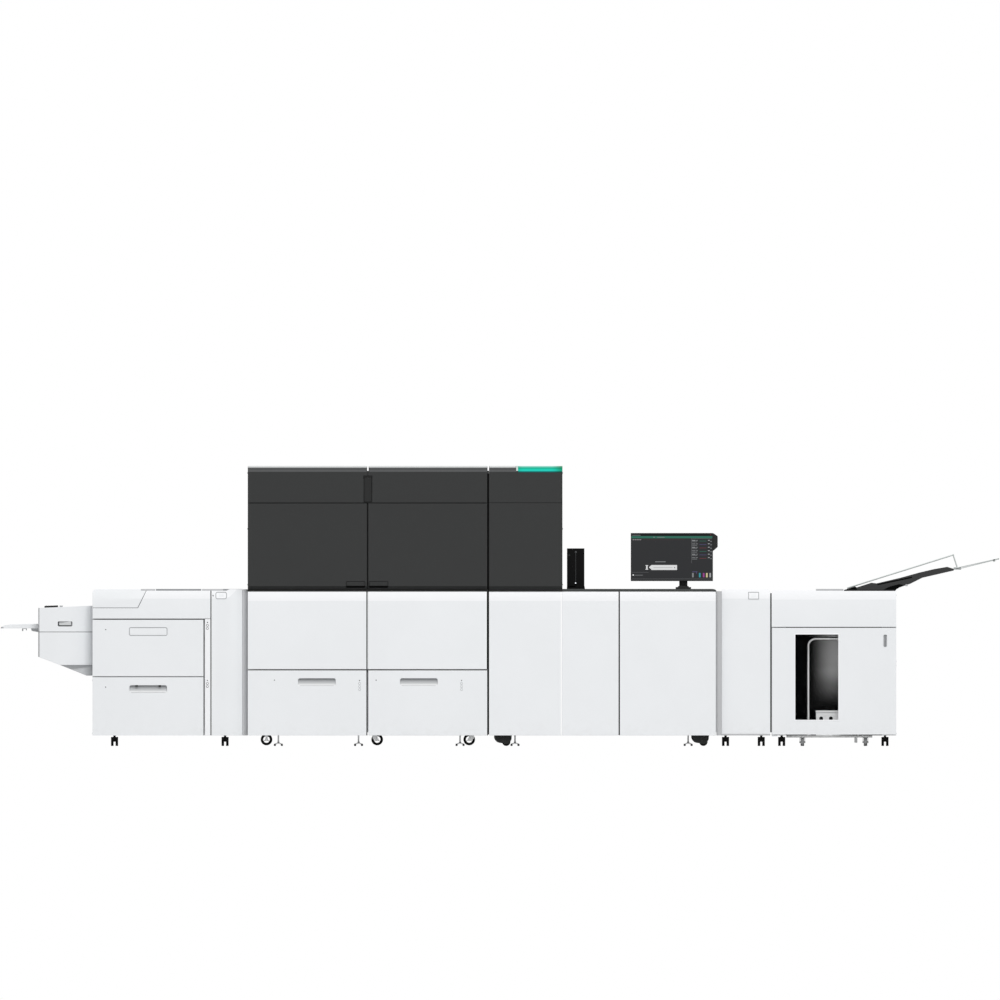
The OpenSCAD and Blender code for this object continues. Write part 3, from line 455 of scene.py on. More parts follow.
lid = painted("lid_coat", "3a3b3c", 0.42, 520, 0.2, 0.02)
# A pale band painted along the upper edge of the bar's front: a painted highlight.
lid_edge_highlight = (lid.band(lid.axis("Z"), *span(high.z, -14.5, -8))
         * (1 - lid.band(lid.axis("Y"), *span(low.y, 6, 14))))
lid.feed(Base_Color=lid.mix(lid_edge_highlight, lid.mix(lid.noise(3.0), "393a3b", "3c3d3e"), "c4c6c6"))
piece("top_lids", "trim_grey", [lid, painted("lid_fascia", "474849", 0.45, 520, 0.1, 0.02)],
      [cut(front, edge=6, steps=3), cut(sheet, *tools, edge=1), *heads, *fascias], "top_trim")

# ---- Status light ----
# A bar of clear teal moulding let into the tower's lid, lit from behind by a row of lamps, so
# that it glows most near its middle. A pale slip closes its left end.

low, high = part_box("status_light")
glow = Finish("teal_light", Roughness=0.35, Emission_Strength=0.95, Specular_IOR_Level=0.1)
level = (glow.axis("Z") - (low.z - 0.012)) * (1 / (high.z - low.z + 0.012))
lamps = glow.node("ShaderNodeValToRGB", {"stops": [
    (0.0, "0a3436"), (0.12, "10605e"), (0.25, "1cb2a6"), (0.36, "22deca"),
    (0.50, "0eccac"), (0.68, "12b092"), (0.86, "70ceba"), (1.0, "c4eae2")]}, {0: level})
spread = glow.node("ShaderNodeMath", {"operation": "ABSOLUTE"}, {0: glow.axis("X") - (low.x + 0.14)})
green = glow.node("ShaderNodeMix", {"data_type": "RGBA", "blend_type": "MULTIPLY"},
                  {0: 1.0, 6: lamps, 7: colour("b0b89c")}, out=2)
glow.feed(Base_Color=glow.mix(glow.noise(60.0), "031a16", "05221d"),
          Emission_Color=glow.mix(glow.band(spread, 0.09, 0.18), lamps, green))
slip = painted("light_slip", "cfdcd8", 0.35, depth=0.05)
bar = block(between(low.x, high.x, 11.5, 0), between(low.y, high.y, -0.6, 0), between(low.z, high.z, -12, 0))
end_slip = block(span(low.x, 0, 11.5), between(low.y, high.y, 1, 0), between(low.z, high.z, 0, -0.5), 1)
piece("status_light_bar", "status_teal", [glow, slip], [cut(bar, edge=3, steps=3), end_slip],
      "status_light")

# ---- Top covers ----
# The fixed dark covers of the upper band, pressed sheet with folded edges. A plain finger grip is
# set in where the two press covers meet. The doors' upper hinge pins stand out below them.


def trace(u, v, *points):
    """An outline from points that are millimetres past u and v."""
    return [(u + a / 1000, v + b / 1000) for a, b in points]


def painted_band(solid, axis, low, high, skin=1):
    """Parts the faces of a solid at two levels along an axis and gives what lies between another
    finish: a band of painted shade or highlight.
    """
    for level in (low, high):
        bisected(solid, [*solid.verts, *solid.edges, *solid.faces], axis, level)
    return skinned(solid, skin, lambda face: low < getattr(face.calc_center_median(), axis) < high)


grip_low, grip_high = -0.910, -0.850
floor_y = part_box("top_covers")[0].y + 0.014
grip = cut(block(between(grip_low, grip_high, 4, -4), span(floor_y, -4, 4), (1.625, 1.796)), edge=3)
hood = extrude("x", trace(floor_y, 1.799, (-12, 0), (0, 0), (0, -19), (-4, -13)), grip_low, grip_high)
# Width of the near-black stripes of painted shade along edges at the press's joints.
JOINT_SHADE_W = 0.0055
press_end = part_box("press_right_door")[1].x
# The press's top cover gets a near-black stripe of painted shade along its right edge, at the joint.
piece("top_band_covers", "dark_cover", [dark, black, near_black_and_shade],
      [painted_band(formed("top_covers"), "x", press_end - JOINT_SHADE_W, press_end + 0.001, 2),
       skinned(grip, 1), skinned(hood, 1)], "top_covers")

# ---- Door ledge ----
# A black strip of folded sheet between the white and the dark covers. The doors' lower hinge
# pins are riveted into it.

low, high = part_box("door_ledge")
set_in = block(between(low.x, high.x, -10, 10), span(low.y, -10, 9.5), span(low.z, -10, 8.1))
piece("door_ledge_strip", "black_plastic", [black], [formed("door_ledge", set_in, edge=1)],
      "door_ledge")

# ---- Dark doors ----
# Two doors of dark coated sheet, hinged at their outer sides on pins. Each has a pull near the
# press's middle: a sunk cup whose floor runs in to a finger slot along its lower edge. The faces of
# the door's recess and a block in the slot are painted near-black, as the shade inside the pull. A
# near-black stripe of painted shade runs down each door's right edge at a joint, and the lower rim
# is painted darker as its shade.

PULL_W, PULL_LOW, PULL_HIGH, RIM_TOP = 0.128, 1.053, 1.097, 1.0645
for side, node in ((-1, "press_left_door"), (1, "press_right_door")):
    low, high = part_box(node)
    x = low.x + 0.004 + PULL_W / 2 if side > 0 else high.x - 0.015 - PULL_W / 2
    pull_x = between(x - PULL_W / 2, x + PULL_W / 2, 3, -3)
    cup = extrude("x", trace(low.y, PULL_LOW, (1.2, 41), (5.5, 13.5), (11.5, 13.5), (11.5, 41)), *pull_x)
    # A near-black block in the finger slot stands for the shade inside it.
    slot = block(pull_x, span(low.y, 4.5, 11.5), span(PULL_LOW, -0.5, 13.5), 1)

    def sunk(face):
        """Whether a face belongs to the pull's cup."""
        centre = face.calc_center_median()
        return (abs(centre.x - x) < PULL_W / 2 + 0.001 and face.normal.y > -0.9
                and low.y + 0.0001 < centre.y < low.y + 0.0119
                and PULL_LOW - 0.001 < centre.z < PULL_HIGH + 0.001)

    # The lower rim is painted darker, as painted shade.
    leaf = painted_band(formed(node, edge=1.2), "z", low.z - 0.001, RIM_TOP, 2)
    # Width of the near-black stripe of painted shade down the right edge; the recess faces are painted
    # near-black as the pull's shade.
    shade_w = JOINT_SHADE_W if side > 0 else 0.0035
    leaf = painted_band(skinned(leaf, 1, sunk), "x", high.x - shade_w, high.x + 0.001, 1)
    body = node.replace("press_", "")
    piece(body + "_leaf", "dark_cover", [dark, near_black_and_shade, lower_rim_shade], [leaf, cut(cup, edge=0.8), slot], node,
          body=body)

# ---- White fixed covers ----
# Covers of white coated sheet, hung on the frame with no screws showing. Their upper edges lean
# back, and that leaning band is painted a brighter white as a painted highlight. Near-black stripes
# of painted shade line three joints, and a near-black strip behind the last joint stands for the
# shade in it. A white bead closes the joint beside the tower's cover, with a pure white highlight
# painted on the cover's edge beside it.

# A brighter white, also used on the leaning bands as a painted highlight, where they face up to the light.
bright_and_highlight_white = painted("bright_coat_and_painted_highlight", "eff0f2", 0.4, 700, 0.1, 0.004)


def leaning(face):
    """Whether a face belongs to the band that leans back along the top of a front."""
    return face.normal.y < -0.7 and 0.1 < face.normal.z < 0.3


# Near-black, for stripes and strips of painted shade at the joints between fronts.
joint_shade_black = painted("painted_joint_shade", "0a0a0a", 0.8, 1200, 0.2, 0.04, shine=0.1)
# Pure white for the stripe on the cover's edge beside the bead: a painted highlight.
edge_highlight_white = painted("edge_highlight_white", "ffffff", 0.4, depth=0.05, spread=0.004)
low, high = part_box("white_panels")
mid_x, bead_x, last_x = seal_x[0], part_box("exit_dark_cover")[1].x, 0.790
# The leaning band along the top is painted a brighter white, as a painted highlight.
covers = skinned(formed("white_panels"), 2, leaning)
# Stripes of painted shade at three joints, and a pure white painted highlight beside the bead.
for start, end, skin in ((mid_x - 0.0075, mid_x + 0.001, 1), (press_end - 0.0078, press_end + 0.001, 1),
                         (bead_x - 0.0105, bead_x - 0.004, 3), (last_x + 0.004, last_x + 0.0085, 1)):
    covers = painted_band(covers, "x", start, end, skin)


def joint_strip(x, bottom, depth, skin):
    """A strip that fills a joint between two covers, at a depth behind their faces."""
    y, top, back = low.y + depth, high.z - 0.5 * depth, high.y - 0.004
    outline = [(y, bottom), (y, 0.9655), (y + 0.012, top), (back, top), (back, bottom)]
    return cut(extrude("x", outline, *x, skin), edge=0.8)


# The last strip is near-black and set behind its joint, standing for the shade inside it.
strips = [joint_strip(span(bead_x, -5.2, 0.1), low.z + 0.002, 0.0002, 2),
          joint_strip(span(mid_x, 0, 5.2), 0.513, 0.002, 0),
          joint_strip(span(last_x, -0.5, 5.5), low.z + 0.002, 0.003, 1)]
piece("white_front_covers", "white_cover", [white, joint_shade_black, bright_and_highlight_white, edge_highlight_white],
      [covers, *strips], "white_panels")

# ---- Press drawers ----
# Two paper drawers under the press. A white front carries a grey moulded scoop to pull by and
# small lamps; the scoop's grey is painted lighter where its faces turn up, as painted light and
# shade. Behind it is an open bin of folded zinc-coated sheet that runs on rails.

# The liner is painted near white on faces that turn up and grey on the rest: painted light and shade.
liner_grey_and_painted_shade = Finish("liner_grey_and_painted_shade", Roughness=0.5)
normal = liner_grey_and_painted_shade.node("ShaderNodeNewGeometry", out="Normal")
upward = liner_grey_and_painted_shade.node("ShaderNodeSeparateXYZ", sockets={0: normal}, out="Z")
liner_grey_and_painted_shade.feed(Base_Color=liner_grey_and_painted_shade.mix(liner_grey_and_painted_shade.band(upward, 0.05, 0.85), "a2a4a6", "eceded"))
liner_grey_and_painted_shade.relief(900.0, 0.1)
zinc = Finish("zinc_sheet", Metallic=0.85)
flakes = zinc.node("ShaderNodeTexVoronoi", {"feature": "F1"}, {"Vector": zinc.place(), "Scale": 90.0}, out=1)
tone = zinc.node("ShaderNodeSeparateColor", sockets={0: flakes})
zinc.feed(Base_Color=zinc.mix(tone, "a9adb0", "c3c6c8"),
          Roughness=zinc.noise(60.0, 3.0, (1, 1, 8)) * 0.2 + 0.28)
zinc.relief(500.0, 0.06)
SCOOP_W, SCOOP_H, SCOOP_D = 0.250, 0.050, 0.014


def scoop_liner(x, y, z):
    """The moulded floor of a scoop, deep at its top and curved out below; z is its lower edge."""
    reach, rise = SCOOP_D - 0.0025, SCOOP_H - 0.012
    outline = []
    for t in range(11):
        turn = t * math.pi / 20
        outline.append((y + 0.0008 + reach * math.sin(turn) ** 1.6,
                        z + 0.0015 + rise * (1 - math.cos(turn))))
    outline += trace(y, z, (12.6, 49), (13.6, 49), (13.6, 1.5))
    floor = extrude("x", outline, *between(x - SCOOP_W / 2, x + SCOOP_W / 2, 1.5, -1.5), 1)
    lip = extrude("x", trace(y, z, (1.2, 49), (6, 49), (6, 44)),
                  *between(x - SCOOP_W / 2, x + SCOOP_W / 2, 10, -10), 1)
    return [floor, lip]


def pilot(x, y, z, size=3.5, skin=2):
    """A small round lamp or button let into a front face at y."""
    return lathe("y", (x, y, z), [(size, 3), (size, -0.6), (size * 0.8, -1.2), (0, -1.4)], 16, skin)


def pilot_rings(x, y, z, count=3):
    """Small white buttons in black rims, one below the other."""
    rings = []
    for i in range(count):
        for skin, profile in ((1, [(8.5, 2), (8.5, -0.6), (6, -0.8), (6, 1)]),
                              (0, [(6.2, 2), (6.2, -1.6), (5, -2.2), (0, -2.2)])):
            rings.append(lathe("y", (x, y, z - 0.020 * (i + 1)), profile, 20, skin))
    return rings


def open_bin(name, node, body):
    """A drawer's bin from its CAD shape, with rows of slots for its paper guides."""
    low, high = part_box(node)
    middles = [low.x + share * (high.x - low.x) for share in (0.3, 0.7)]
    slots = [block(span(x, -50, 50), span(low.y, at, at + 8), span(low.z, -10, 30))
             for x in middles for at in (120, 220, 320, 420, 520)]
    piece(name, "sheet_metal", [zinc], [formed(node, *slots, edge=1.5)], node, body=body)


for side, shift, lamp_x, rings_x, rim in (("left", 0.062, 0.1775, 0.052, 0.007),
                                          ("right", -0.062, 0.052, 0.176, JOINT_SHADE_W)):
    node = f"press_{side}_drawer_front"
    low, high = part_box(node)
    marks = [pilot(low.x + lamp_x, low.y, 0.438), pilot(high.x - rings_x, low.y, 0.436),
             *pilot_rings(high.x - rings_x, low.y, 0.436)]
    # Near-black stripes of painted shade along the front's top edge and right edge, at the joints.
    front = painted_band(formed(node), "z", *span(high.z, -2, 1), 3)
    front = painted_band(front, "x", high.x - rim, high.x + 0.001, 3)
    piece(f"{side}_drawer_face", "white_cover", [white, liner_grey_and_painted_shade, black, joint_shade_black],
          [front, *scoop_liner((low.x + high.x) / 2 + shift, low.y, 0.401), *marks], node,
          body=f"{side}_drawer")
    open_bin(f"{side}_drawer_tray", f"press_{side}_drawer_bin", f"{side}_drawer")

# ---- Exit section ----
# The white cabinet that takes the printed sheets out of the press, with a steel frame inside.
# Rubber gaskets close the gaps between docked modules; a moulded grey trim ends the section.

low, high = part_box("exit_base")
piece("exit_cabinet", "white_cover", [white],
      carcass("exit_base", [low.x, low.x + 0.489, low.x + 1.0, high.x], [low.z, BACK_SEAM_Z, high.z]),
      "exit_base")
rubber = painted("gasket_rubber", "0c0c0c", 0.75, 1200, 0.2, 0.06)
low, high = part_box("docking_plates")
riser = block(span(press_end, 0.3, 6.7), (low.y, 0.5), span(high.z, -10, 21))
piece("dock_gaskets", "black_plastic", [rubber], [formed("docking_plates"), cut(riser, edge=1)],
      "docking_plates")
# The cover's lower rim is painted darker, as painted shade.
piece("exit_tower_cover", "dark_cover", [dark, lower_rim_shade],
      [painted_band(formed("exit_dark_cover", edge=1.5), "z", 1.03, RIM_TOP)], "exit_dark_cover")
trim_grey = painted("grey_trim_coat", "b4b5b7", 0.42, 700, 0.12, 0.01)
low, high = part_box("end_trim")
plan = [*trace(low.x, low.y, (0, 8), (10, 8), (10, 0)), (high.x, low.y),
        (high.x, high.y - 0.003), (low.x, high.y - 0.003)]
nip = extrude("y", trace(low.x, low.z, (-10, -10), (14, -10), (-10, 14)), *span(low.y, -10, 50))
piece("exit_end_trim", "light_grey", [trim_grey],
      [cut(extrude("z", plan, low.z, high.z), nip, edge=5, steps=3)], "end_trim")

# ---- Worktop ----
# A dark laminate top on the exit section, with a rounded right end and a soft front edge.

laminate = painted("worktop_laminate", "323534", 0.4, 380, 0.08)
sockets = {"Vector": laminate.place(), "Scale": 260.0}
specks = laminate.node("ShaderNodeTexVoronoi", {"feature": "F1"}, sockets)
fleck = 1 - laminate.band(specks, 0.08, 0.2)
laminate.feed(Base_Color=laminate.mix(fleck * 0.5, "2a2d2c", "444847"))
low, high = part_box("worktop")
ROUND_W, ROUND_H = 0.028, 0.0146
turns = [math.radians(10 * i) for i in range(10)]
corner = [(high.x - ROUND_W * (1 - math.sin(turn)), high.z - ROUND_H * (1 - math.cos(turn)))
          for turn in turns]
corner += trace(high.x, high.z, (10, -14.6), (10, 10), (-28, 10))
wide, tall = between(low.x, high.x, -100, 100), (1.0, 1.1)
piece("worktop_board", "worktop_dark", [laminate],
      [formed("worktop", block(wide, (high.y - 0.003, 1), tall), block(wide, (-1, low.y + 0.0095), tall),
              extrude("y", corner, *between(low.y, high.y, -10, 10)))], "worktop")

# ---- Computer ----
# A slim tower on the worktop: a folded steel case with a two-part moulded front over a slightly
# wider plinth. The front has a power button and a lamp; ports, an inlet and a vent are behind.


def louvres(axis, face, inward, u, v, pitch, depth):
    """A vent in a flat face: the recess to cut and the slanted blades that go in it.
    u runs along the blades and v across them; inward is the sign of the way into the body."""
    near, back = face + inward * 0.0015, face + inward * depth
    blades = []
    for i in range(int((v[1] - v[0]) / pitch)):
        low = v[0] + i * pitch + 0.002
        end = low + pitch * 0.75
        profile = [(near, low), (back, end), (back, end + 0.002), (near, low + 0.002)]
        blades.append(extrude("y" if axis == "x" else "x", profile, *u))
    return extrude(axis, rect(u, v), *sorted((face - inward * 0.001, back))), blades


low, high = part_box("computer")
case_x = between(low.x, high.x, 1, -4)
seam_x = low.x + 0.0595
case = block(case_x, between(low.y, high.y, 22, -2), between(low.z, high.z, 14, 0))
side_vent, side_blades = louvres("x", case_x[1], -1, between(low.y, high.y, 140, -60),
                                 between(low.z, high.z, 100, -60), 0.011, 0.006)
ports = [block(span(low.x, x, x + 16), span(high.y, -10, 10), span(low.z, z, z + 11))
         for x in (20, 44, 68) for z in (60, 82, 104, 126)]
inlet = block(span(low.x, 30, 78), span(high.y, -14, 10), span(high.z, -58, -26))
case_paint = painted("case_paint", "040404", 0.6, 800, 0.15, 0.05, shine=0.1)
front_paint = painted("case_front", "060606", 0.6, 900, 0.1, 0.04, shine=0.1)
lamp_white = Finish("power_lamp", Roughness=0.3, Emission_Strength=0.8)
lamp_white.feed(Base_Color=lamp_white.mix(lamp_white.noise(900.0), "c8ccd0", "e4e8ec"),
                Emission_Color=colour("d8dce0"))
half_z = between(low.z, high.z, 12, -1)
left_half = block((case_x[0], seam_x - 0.0012), span(low.y, 0, 24), half_z, 1)
right_half = block((seam_x + 0.0012, case_x[1]), span(low.y, 1, 24), half_z)
seam_strip = block(span(seam_x, -1.4, 1.4), span(low.y, 1.5, 20), between(low.z, high.z, 50, -30), 3)
button = lathe("y", (seam_x, low.y, high.z - 0.026), [(7.5, 2), (7.5, -1), (6, -1.8), (0, -1.8)], 24, 3)
lamp_dot = lathe("y", (seam_x - 0.001, low.y, low.z + 0.039), [(4.5, 2), (4.5, -1), (0, -1.4)], 16, 2)
drive_mark = block(span(low.x, 10, 22), span(low.y, -0.6, 1), span(high.z, -47, -43), 3)
plinth = [(low.x, low.z), (high.x, low.z), (high.x - 0.003, low.z + 0.020), (low.x + 0.001, low.z + 0.020)]
seam_metal = painted("case_seam", "303234", 0.4, depth=0.05)
piece("control_computer", "black_plastic", [case_paint, front_paint, lamp_white, seam_metal],
      [cut(case, side_vent, *ports, inlet, edge=1.5), *side_blades, cut(left_half, edge=1.2),
       cut(right_half, edge=1.2), seam_strip, button, lamp_dot, drive_mark,
       cut(extrude("y", plinth, low.y, high.y), edge=1.5)], "computer")

# ---- Monitor ----
# A wide panel on a short stand, with a reader's housing at its upper right corner. It tilts on a
# pin through two lugs at its back. The screen shows a plain job view made of bars and tiles.

low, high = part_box("monitor_stand")
collar = [*trace(low.x, low.z, (12, 11), (20, 20)), *trace(high.x, low.z, (-20, 20), (-12, 11))]
piece("monitor_foot", "black_plastic", [black],
      [formed("monitor_stand", edge=2.5),
       cut(extrude("y", collar, *between(low.y, high.y, 20, -20)))], "monitor_stand")

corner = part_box("monitor_head")[0]
left, face, bottom = corner.x, corner.y, corner.z
wide, tall = 0.547, 0.320
cushion = extrude("y", rect(between(left, left + wide, 70, -70), between(bottom, bottom + tall, 50, -50)),
                  *span(face, 30, 48))
back_vent, back_blades = louvres("y", face + 0.048, -1, span(left, 100, 300), span(bottom, 200, 260),
                                 0.010, 0.006)


def lit(name, code):
    """A patch of the lit screen."""
    glow = Finish(name, Roughness=0.5, Emission_Strength=0.82, Specular_IOR_Level=0.1)
    glow.feed(Base_Color=colour("050505"),
              Emission_Color=glow.mix(glow.noise(700.0), colour(code, 0.93), code))
    return glow


SCREEN = {"ground": "333436", "title": "161718", "green": "357361", "white": "f2f3f3", "grey": "8d8f91",
          "cyan": "3ba4b0", "magenta": "a44a98", "yellow": "e2d6a2", "red": "7c3e44", "dim_red": "6a3034",
          "rose": "a59c9f", "pale": "b4b6b8", "violet": "5c5480"}
inks = {tone: lit("screen_" + tone, code) for tone, code in SCREEN.items()}


def tile(tone, u, v, w, h, lift=1):
    """A patch on the screen, from its left and lower edges in mm; it stands a hair proud."""
    x, z = left + u / 1000, bottom + v / 1000
    return block((x, x + w / 1000), (face + 0.0012 - 0.0003 * lift, face + 0.003), (z, z + h / 1000),
                 list(inks).index(tone) + 1)


tiles = [("ground", 4, 5, 539, 311, 0), ("title", 4, 300, 539, 16), ("green", 4, 285, 539, 15),
         ("dim_red", 528, 305, 8, 6, 2), ("grey", 150, 290, 10, 4, 2), ("grey", 176, 290, 50, 3, 2),
         ("grey", 10, 304, 55, 3, 2), ("grey", 404, 120, 1, 160), ("grey", 400, 282, 140, 1, 2)]
tiles += [("rose", 12 + 15 * i, 273, 12, 5) for i in range(4)]
tiles += [("red", 82 + 6 * i, 275, 4, 1) for i in range(46)]
for row in range(6):
    v = 269 - 23 * row
    tiles += [("grey" if row % 2 else "pale", 408, v, 22, 4), ("grey", 434, v, 12, 4),
              ("grey", 408, v - 9, 34, 3), (("green", "violet", "red")[row % 3], 458, v - 4, 46, 3),
              ("pale", 514, v, 12, 5), ("grey", 530, v - 7, 9, 5)]
tiles += [("white", 136, 74, 172, 33), ("grey", 150, 89, 128, 2, 2), ("grey", 288, 86, 8, 8, 2),
          ("grey", 162, 126, 70, 5), ("white", 102, 76, 10, 30), ("white", 98, 76, 18, 4),
          ("white", 98, 102, 18, 4), ("white", 122, 88, 14, 8), ("white", 128, 82, 8, 20),
          ("grey", 8, 58, 110, 1), ("white", 12, 36, 9, 9), ("grey", 28, 38, 52, 3), ("grey", 4, 14, 539, 1),
          ("grey", 408, 25, 11, 29), ("cyan", 454, 25, 11, 29), ("magenta", 480, 25, 11, 29),
          ("yellow", 501, 25, 11, 29), ("pale", 524, 25, 10, 29), ("violet", 410, 60, 34, 4),
          ("violet", 436, 50, 4, 10)]
opening = block(between(left, left + wide, 4, -4), span(face, -10, 2), between(bottom, bottom + tall, 5, -4))
piece("monitor_panel", "black_plastic", [black, *inks.values()],
      [formed("monitor_head", opening, edge=1.2), cut(cushion, back_vent, edge=3), *back_blades,
       *(tile(*row) for row in tiles)], "monitor_head", body="monitor")

# ---- Interface tower ----
# The narrow white tower between the feeder and the press. Its moulded cover bows back towards a
# grey trim. A small outlined badge on the leaning band is left blank, with a sensor hole beside it.

SLOPE_H, SLOPE_D = 0.063, 0.012


def bow(x0, x1, y, depth, z):
    """The tool that trims a front so that it bows back, by depth where it reaches x1."""
    curve = [(x0 + (x1 - x0) * i / 12, y + depth * (i / 12) ** 2) for i in range(13)]
    return extrude("z", curve + [(x1 + 0.001, curve[-1][1]), (x1 + 0.001, y - 0.02), (x0, y - 0.02)],
                   *between(*z, -10, 10))


def rounded(x, z, radius):
    """The outline of a rectangle with rounded corners, from its sides; the radius is in millimetres."""
    radius, outline = radius / 1000, []
    for cx, cz, start in ((x[1] - radius, z[1] - radius, 0), (x[0] + radius, z[1] - radius, 90),
                          (x[0] + radius, z[0] + radius, 180), (x[1] - radius, z[0] + radius, 270)):
        for i in range(6):
            turn = math.radians(start + 90 * i / 5)
            outline.append((cx + radius * math.cos(turn), cz + radius * math.sin(turn)))
    return outline


def badge(x, z, front, top, radius):
    """A thin outline laid on the leaning band of a front whose top is at that height, with a faint
    blank plate inside it."""
    ring = cut(extrude("y", rounded(x, z, radius), *span(front, -1.2, 1), 1),
               extrude("y", rounded(between(*x, 4.5, -4.5), between(*z, 4.5, -4.5), max(1, radius - 4.5)),
                       *span(front, -20, 20), 1), edge=0)
    plate = extrude("y", rounded(between(*x, 22, -22), between(*z, 16, -16), 2), *span(front, -0.6, 1))
    for solid in (ring, plate):
        for vert in solid.verts:
            vert.co.y += max(0.0, vert.co.z - (top - SLOPE_H)) * SLOPE_D / SLOPE_H
    return [ring, plate]


low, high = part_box("interface_tower")
trim_low, trim_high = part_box("interface_trim")
BOW_X, BOW_D, TRIM_D = low.x + 0.08, 0.024, 0.016
tower_cut = bow(BOW_X, high.x, low.y, BOW_D, (low.z, high.z))
tools, heads = cladding("y", high.y, 1, [low.x, high.x], [low.z, BACK_SEAM_Z, high.z])
line_grey = painted("badge_line", "a3a5a7")
hole = lathe("y", (-1.911, low.y + 0.0045, 1.001), [(5.5, -2), (5.5, 2)], 16, 1)
# The leaning band is painted a brighter white, as a painted highlight.
cover = skinned(formed("interface_tower", tower_cut, *tools), 2, leaning)
# A near-black stripe of painted shade runs down the left edge, at the joint to the feeder.
piece("interface_cover", "white_cover", [white, line_grey, bright_and_highlight_white, joint_shade_black],
      [painted_band(cover, "x", *span(low.x, -1, 2.2), 3), *heads, hole,
       *badge((-1.8948, -1.819), (0.978, 1.026), low.y, high.z, 14)], "interface_tower")
interface_grey = painted("interface_trim_coat", "bdbec0", 0.42, 700, 0.12, 0.01)
start = low.y + BOW_D + 0.003
plan = [(trim_low.x, start), (trim_low.x + 0.012, start), (trim_high.x, start + TRIM_D),
        (trim_high.x, trim_high.y), (trim_low.x, trim_high.y)]
piece("interface_end_trim", "light_grey", [interface_grey],
      [cut(extrude("z", plan, trim_low.z, trim_high.z), edge=4, steps=3)], "interface_trim")

# ---- Feeder ----
# The white paper feeder: a sheet steel cabinet with a round upper corner, a corner lid over the
# paper path and a strip of indicators. Flat grey lids lie over the paper path in the tops.

low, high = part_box("feeder_cabinet")
shell = carcass("feeder_cabinet", [low.x, low.x + 0.395, high.x], [low.z, BACK_SEAM_Z, high.z - 0.03],
                [(-1, [low.y + 0.03, -0.14, high.y], [low.z, 0.45])])
# The leaning band gets a painted highlight of brighter white; the right edge a stripe of painted shade.
shell[0] = painted_band(skinned(shell[0], 1, leaning), "x", *span(high.x, -4.5, 1), 2)
piece("feeder_housing", "white_cover", [white, bright_and_highlight_white, joint_shade_black], shell, "feeder_cabinet")
lid_low, lid_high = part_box("feeder_lid")
slant = (lid_low.x + 0.300, lid_high.x + 0.0005)
# A mid grey strip set in the lid's seam, standing for the shade inside it.
painted_seam_shade = painted("painted_seam_shade", "77797b", 0.8, 900, 0.1, 0.04, shine=0.2)
seam_shade_fill = [(low.x + 0.002, lid_low.z - 0.0032), (slant[0] + 0.003, lid_low.z - 0.0032),
           (slant[1] + 0.002, high.z - 0.003), (slant[1] - 0.003, high.z - 0.003),
           (slant[0], lid_low.z + 0.001), (low.x + 0.002, lid_low.z + 0.001)]
piece("feeder_corner_lid", "white_cover", [white, painted_seam_shade],
      [formed("feeder_lid", edge=1.5), extrude("y", seam_shade_fill, *between(low.y, high.y, 14, -4), 1)],
      "feeder_lid")


def top_plate(x0, x1, skin):
    """A flat lid on a cabinet's top, whose front edge is folded down over the cover's upper edge."""
    outline = trace(low.y, high.z, (9.5, -9.8), (9.5, 1.6), (520, 1.6), (520, -1), (13.5, -1), (13.5, -9.8))
    bent = bow(BOW_X, trim_low.x, low.y + 0.0095, BOW_D, span(high.z, -10, 0))
    return cut(extrude("x", outline, x0, x1, skin), bent, edge=0.8)


path_grey = painted("path_lid_coat", "8d8f92", 0.45, 800)
piece("paper_path_lids", "light_grey", [path_grey, interface_grey],
      [top_plate(-2.2915, -1.990, 0), top_plate(-2.391, -2.2965, 1), top_plate(-1.9845, -1.7165, 1)])
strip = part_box("feeder_indicator_strip")
x, marks = strip[0].x + 0.0175, []
for z in (0.823, 0.436):
    marks += [pilot(x, strip[0].y, z, 3.5, 1), *pilot_rings(x, strip[0].y, z, 2)]
# A near-black stripe of painted shade runs down the strip's right edge, at the joint.
piece("indicator_strip", "white_cover", [bright_and_highlight_white, black, joint_shade_black],
      [painted_band(formed("feeder_indicator_strip"), "x", *span(strip[1].x, -4.5, 1), 2), *marks],
      "feeder_indicator_strip")

# ---- Feeder drawers ----
# Two deep paper drawers. The upper front has a flush push grip, parted from it by a fine gap; the
# lower one has a grey scoop, painted lighter where its faces turn up as painted light and shade,
# with two catches at its upper edge.

low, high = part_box("feeder_upper_drawer_front")
GRIP_W, GRIP_H = 0.256, 0.057
left, bottom = (low.x + high.x - GRIP_W) / 2, strip[1].z + SEAM - 0.058 - GRIP_H
grip_x, grip_z = (left, left + GRIP_W), (bottom, bottom + GRIP_H)
line_shade = painted("grip_line", "a4a6a8", 0.6)
push = extrude("y", rounded(between(*grip_x, 5, -5), between(*grip_z, 5, -5), 7), *span(low.y, 0.2, 4))
rim_line = block(between(*grip_x, 0.2, -0.2), span(low.y, 2.6, 3.4), between(*grip_z, 0.2, -0.2), 1)
# Near-black stripes of painted shade along the front's top edge and right edge, at the joints.
front = painted_band(formed("feeder_upper_drawer_front", edge=1.8), "z", *span(high.z, -1.5, 1), 3)
piece("feeder_upper_face", "white_cover", [white, line_shade, black, joint_shade_black],
      [painted_band(front, "x", *span(high.x, -3, 1), 3), cut(push, edge=0.8), rim_line,
       pilot(-2.626, low.y, 0.775), pilot(-2.612, low.y, 0.764, 2.5, 0)],
      "feeder_upper_drawer_front", body="feeder_upper_drawer")
low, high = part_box("feeder_lower_drawer_front")
x, z = (low.x + high.x) / 2, high.z + 0.003 - 0.056 - SCOOP_H
catches = [block(span(x, at - 8, at + 8), (low.y + 0.0004, low.y + SCOOP_D), span(z + SCOOP_H, -10, -0.5), 4)
           for at in (-77, 77)]
front = formed("feeder_lower_drawer_front", edge=1.8)
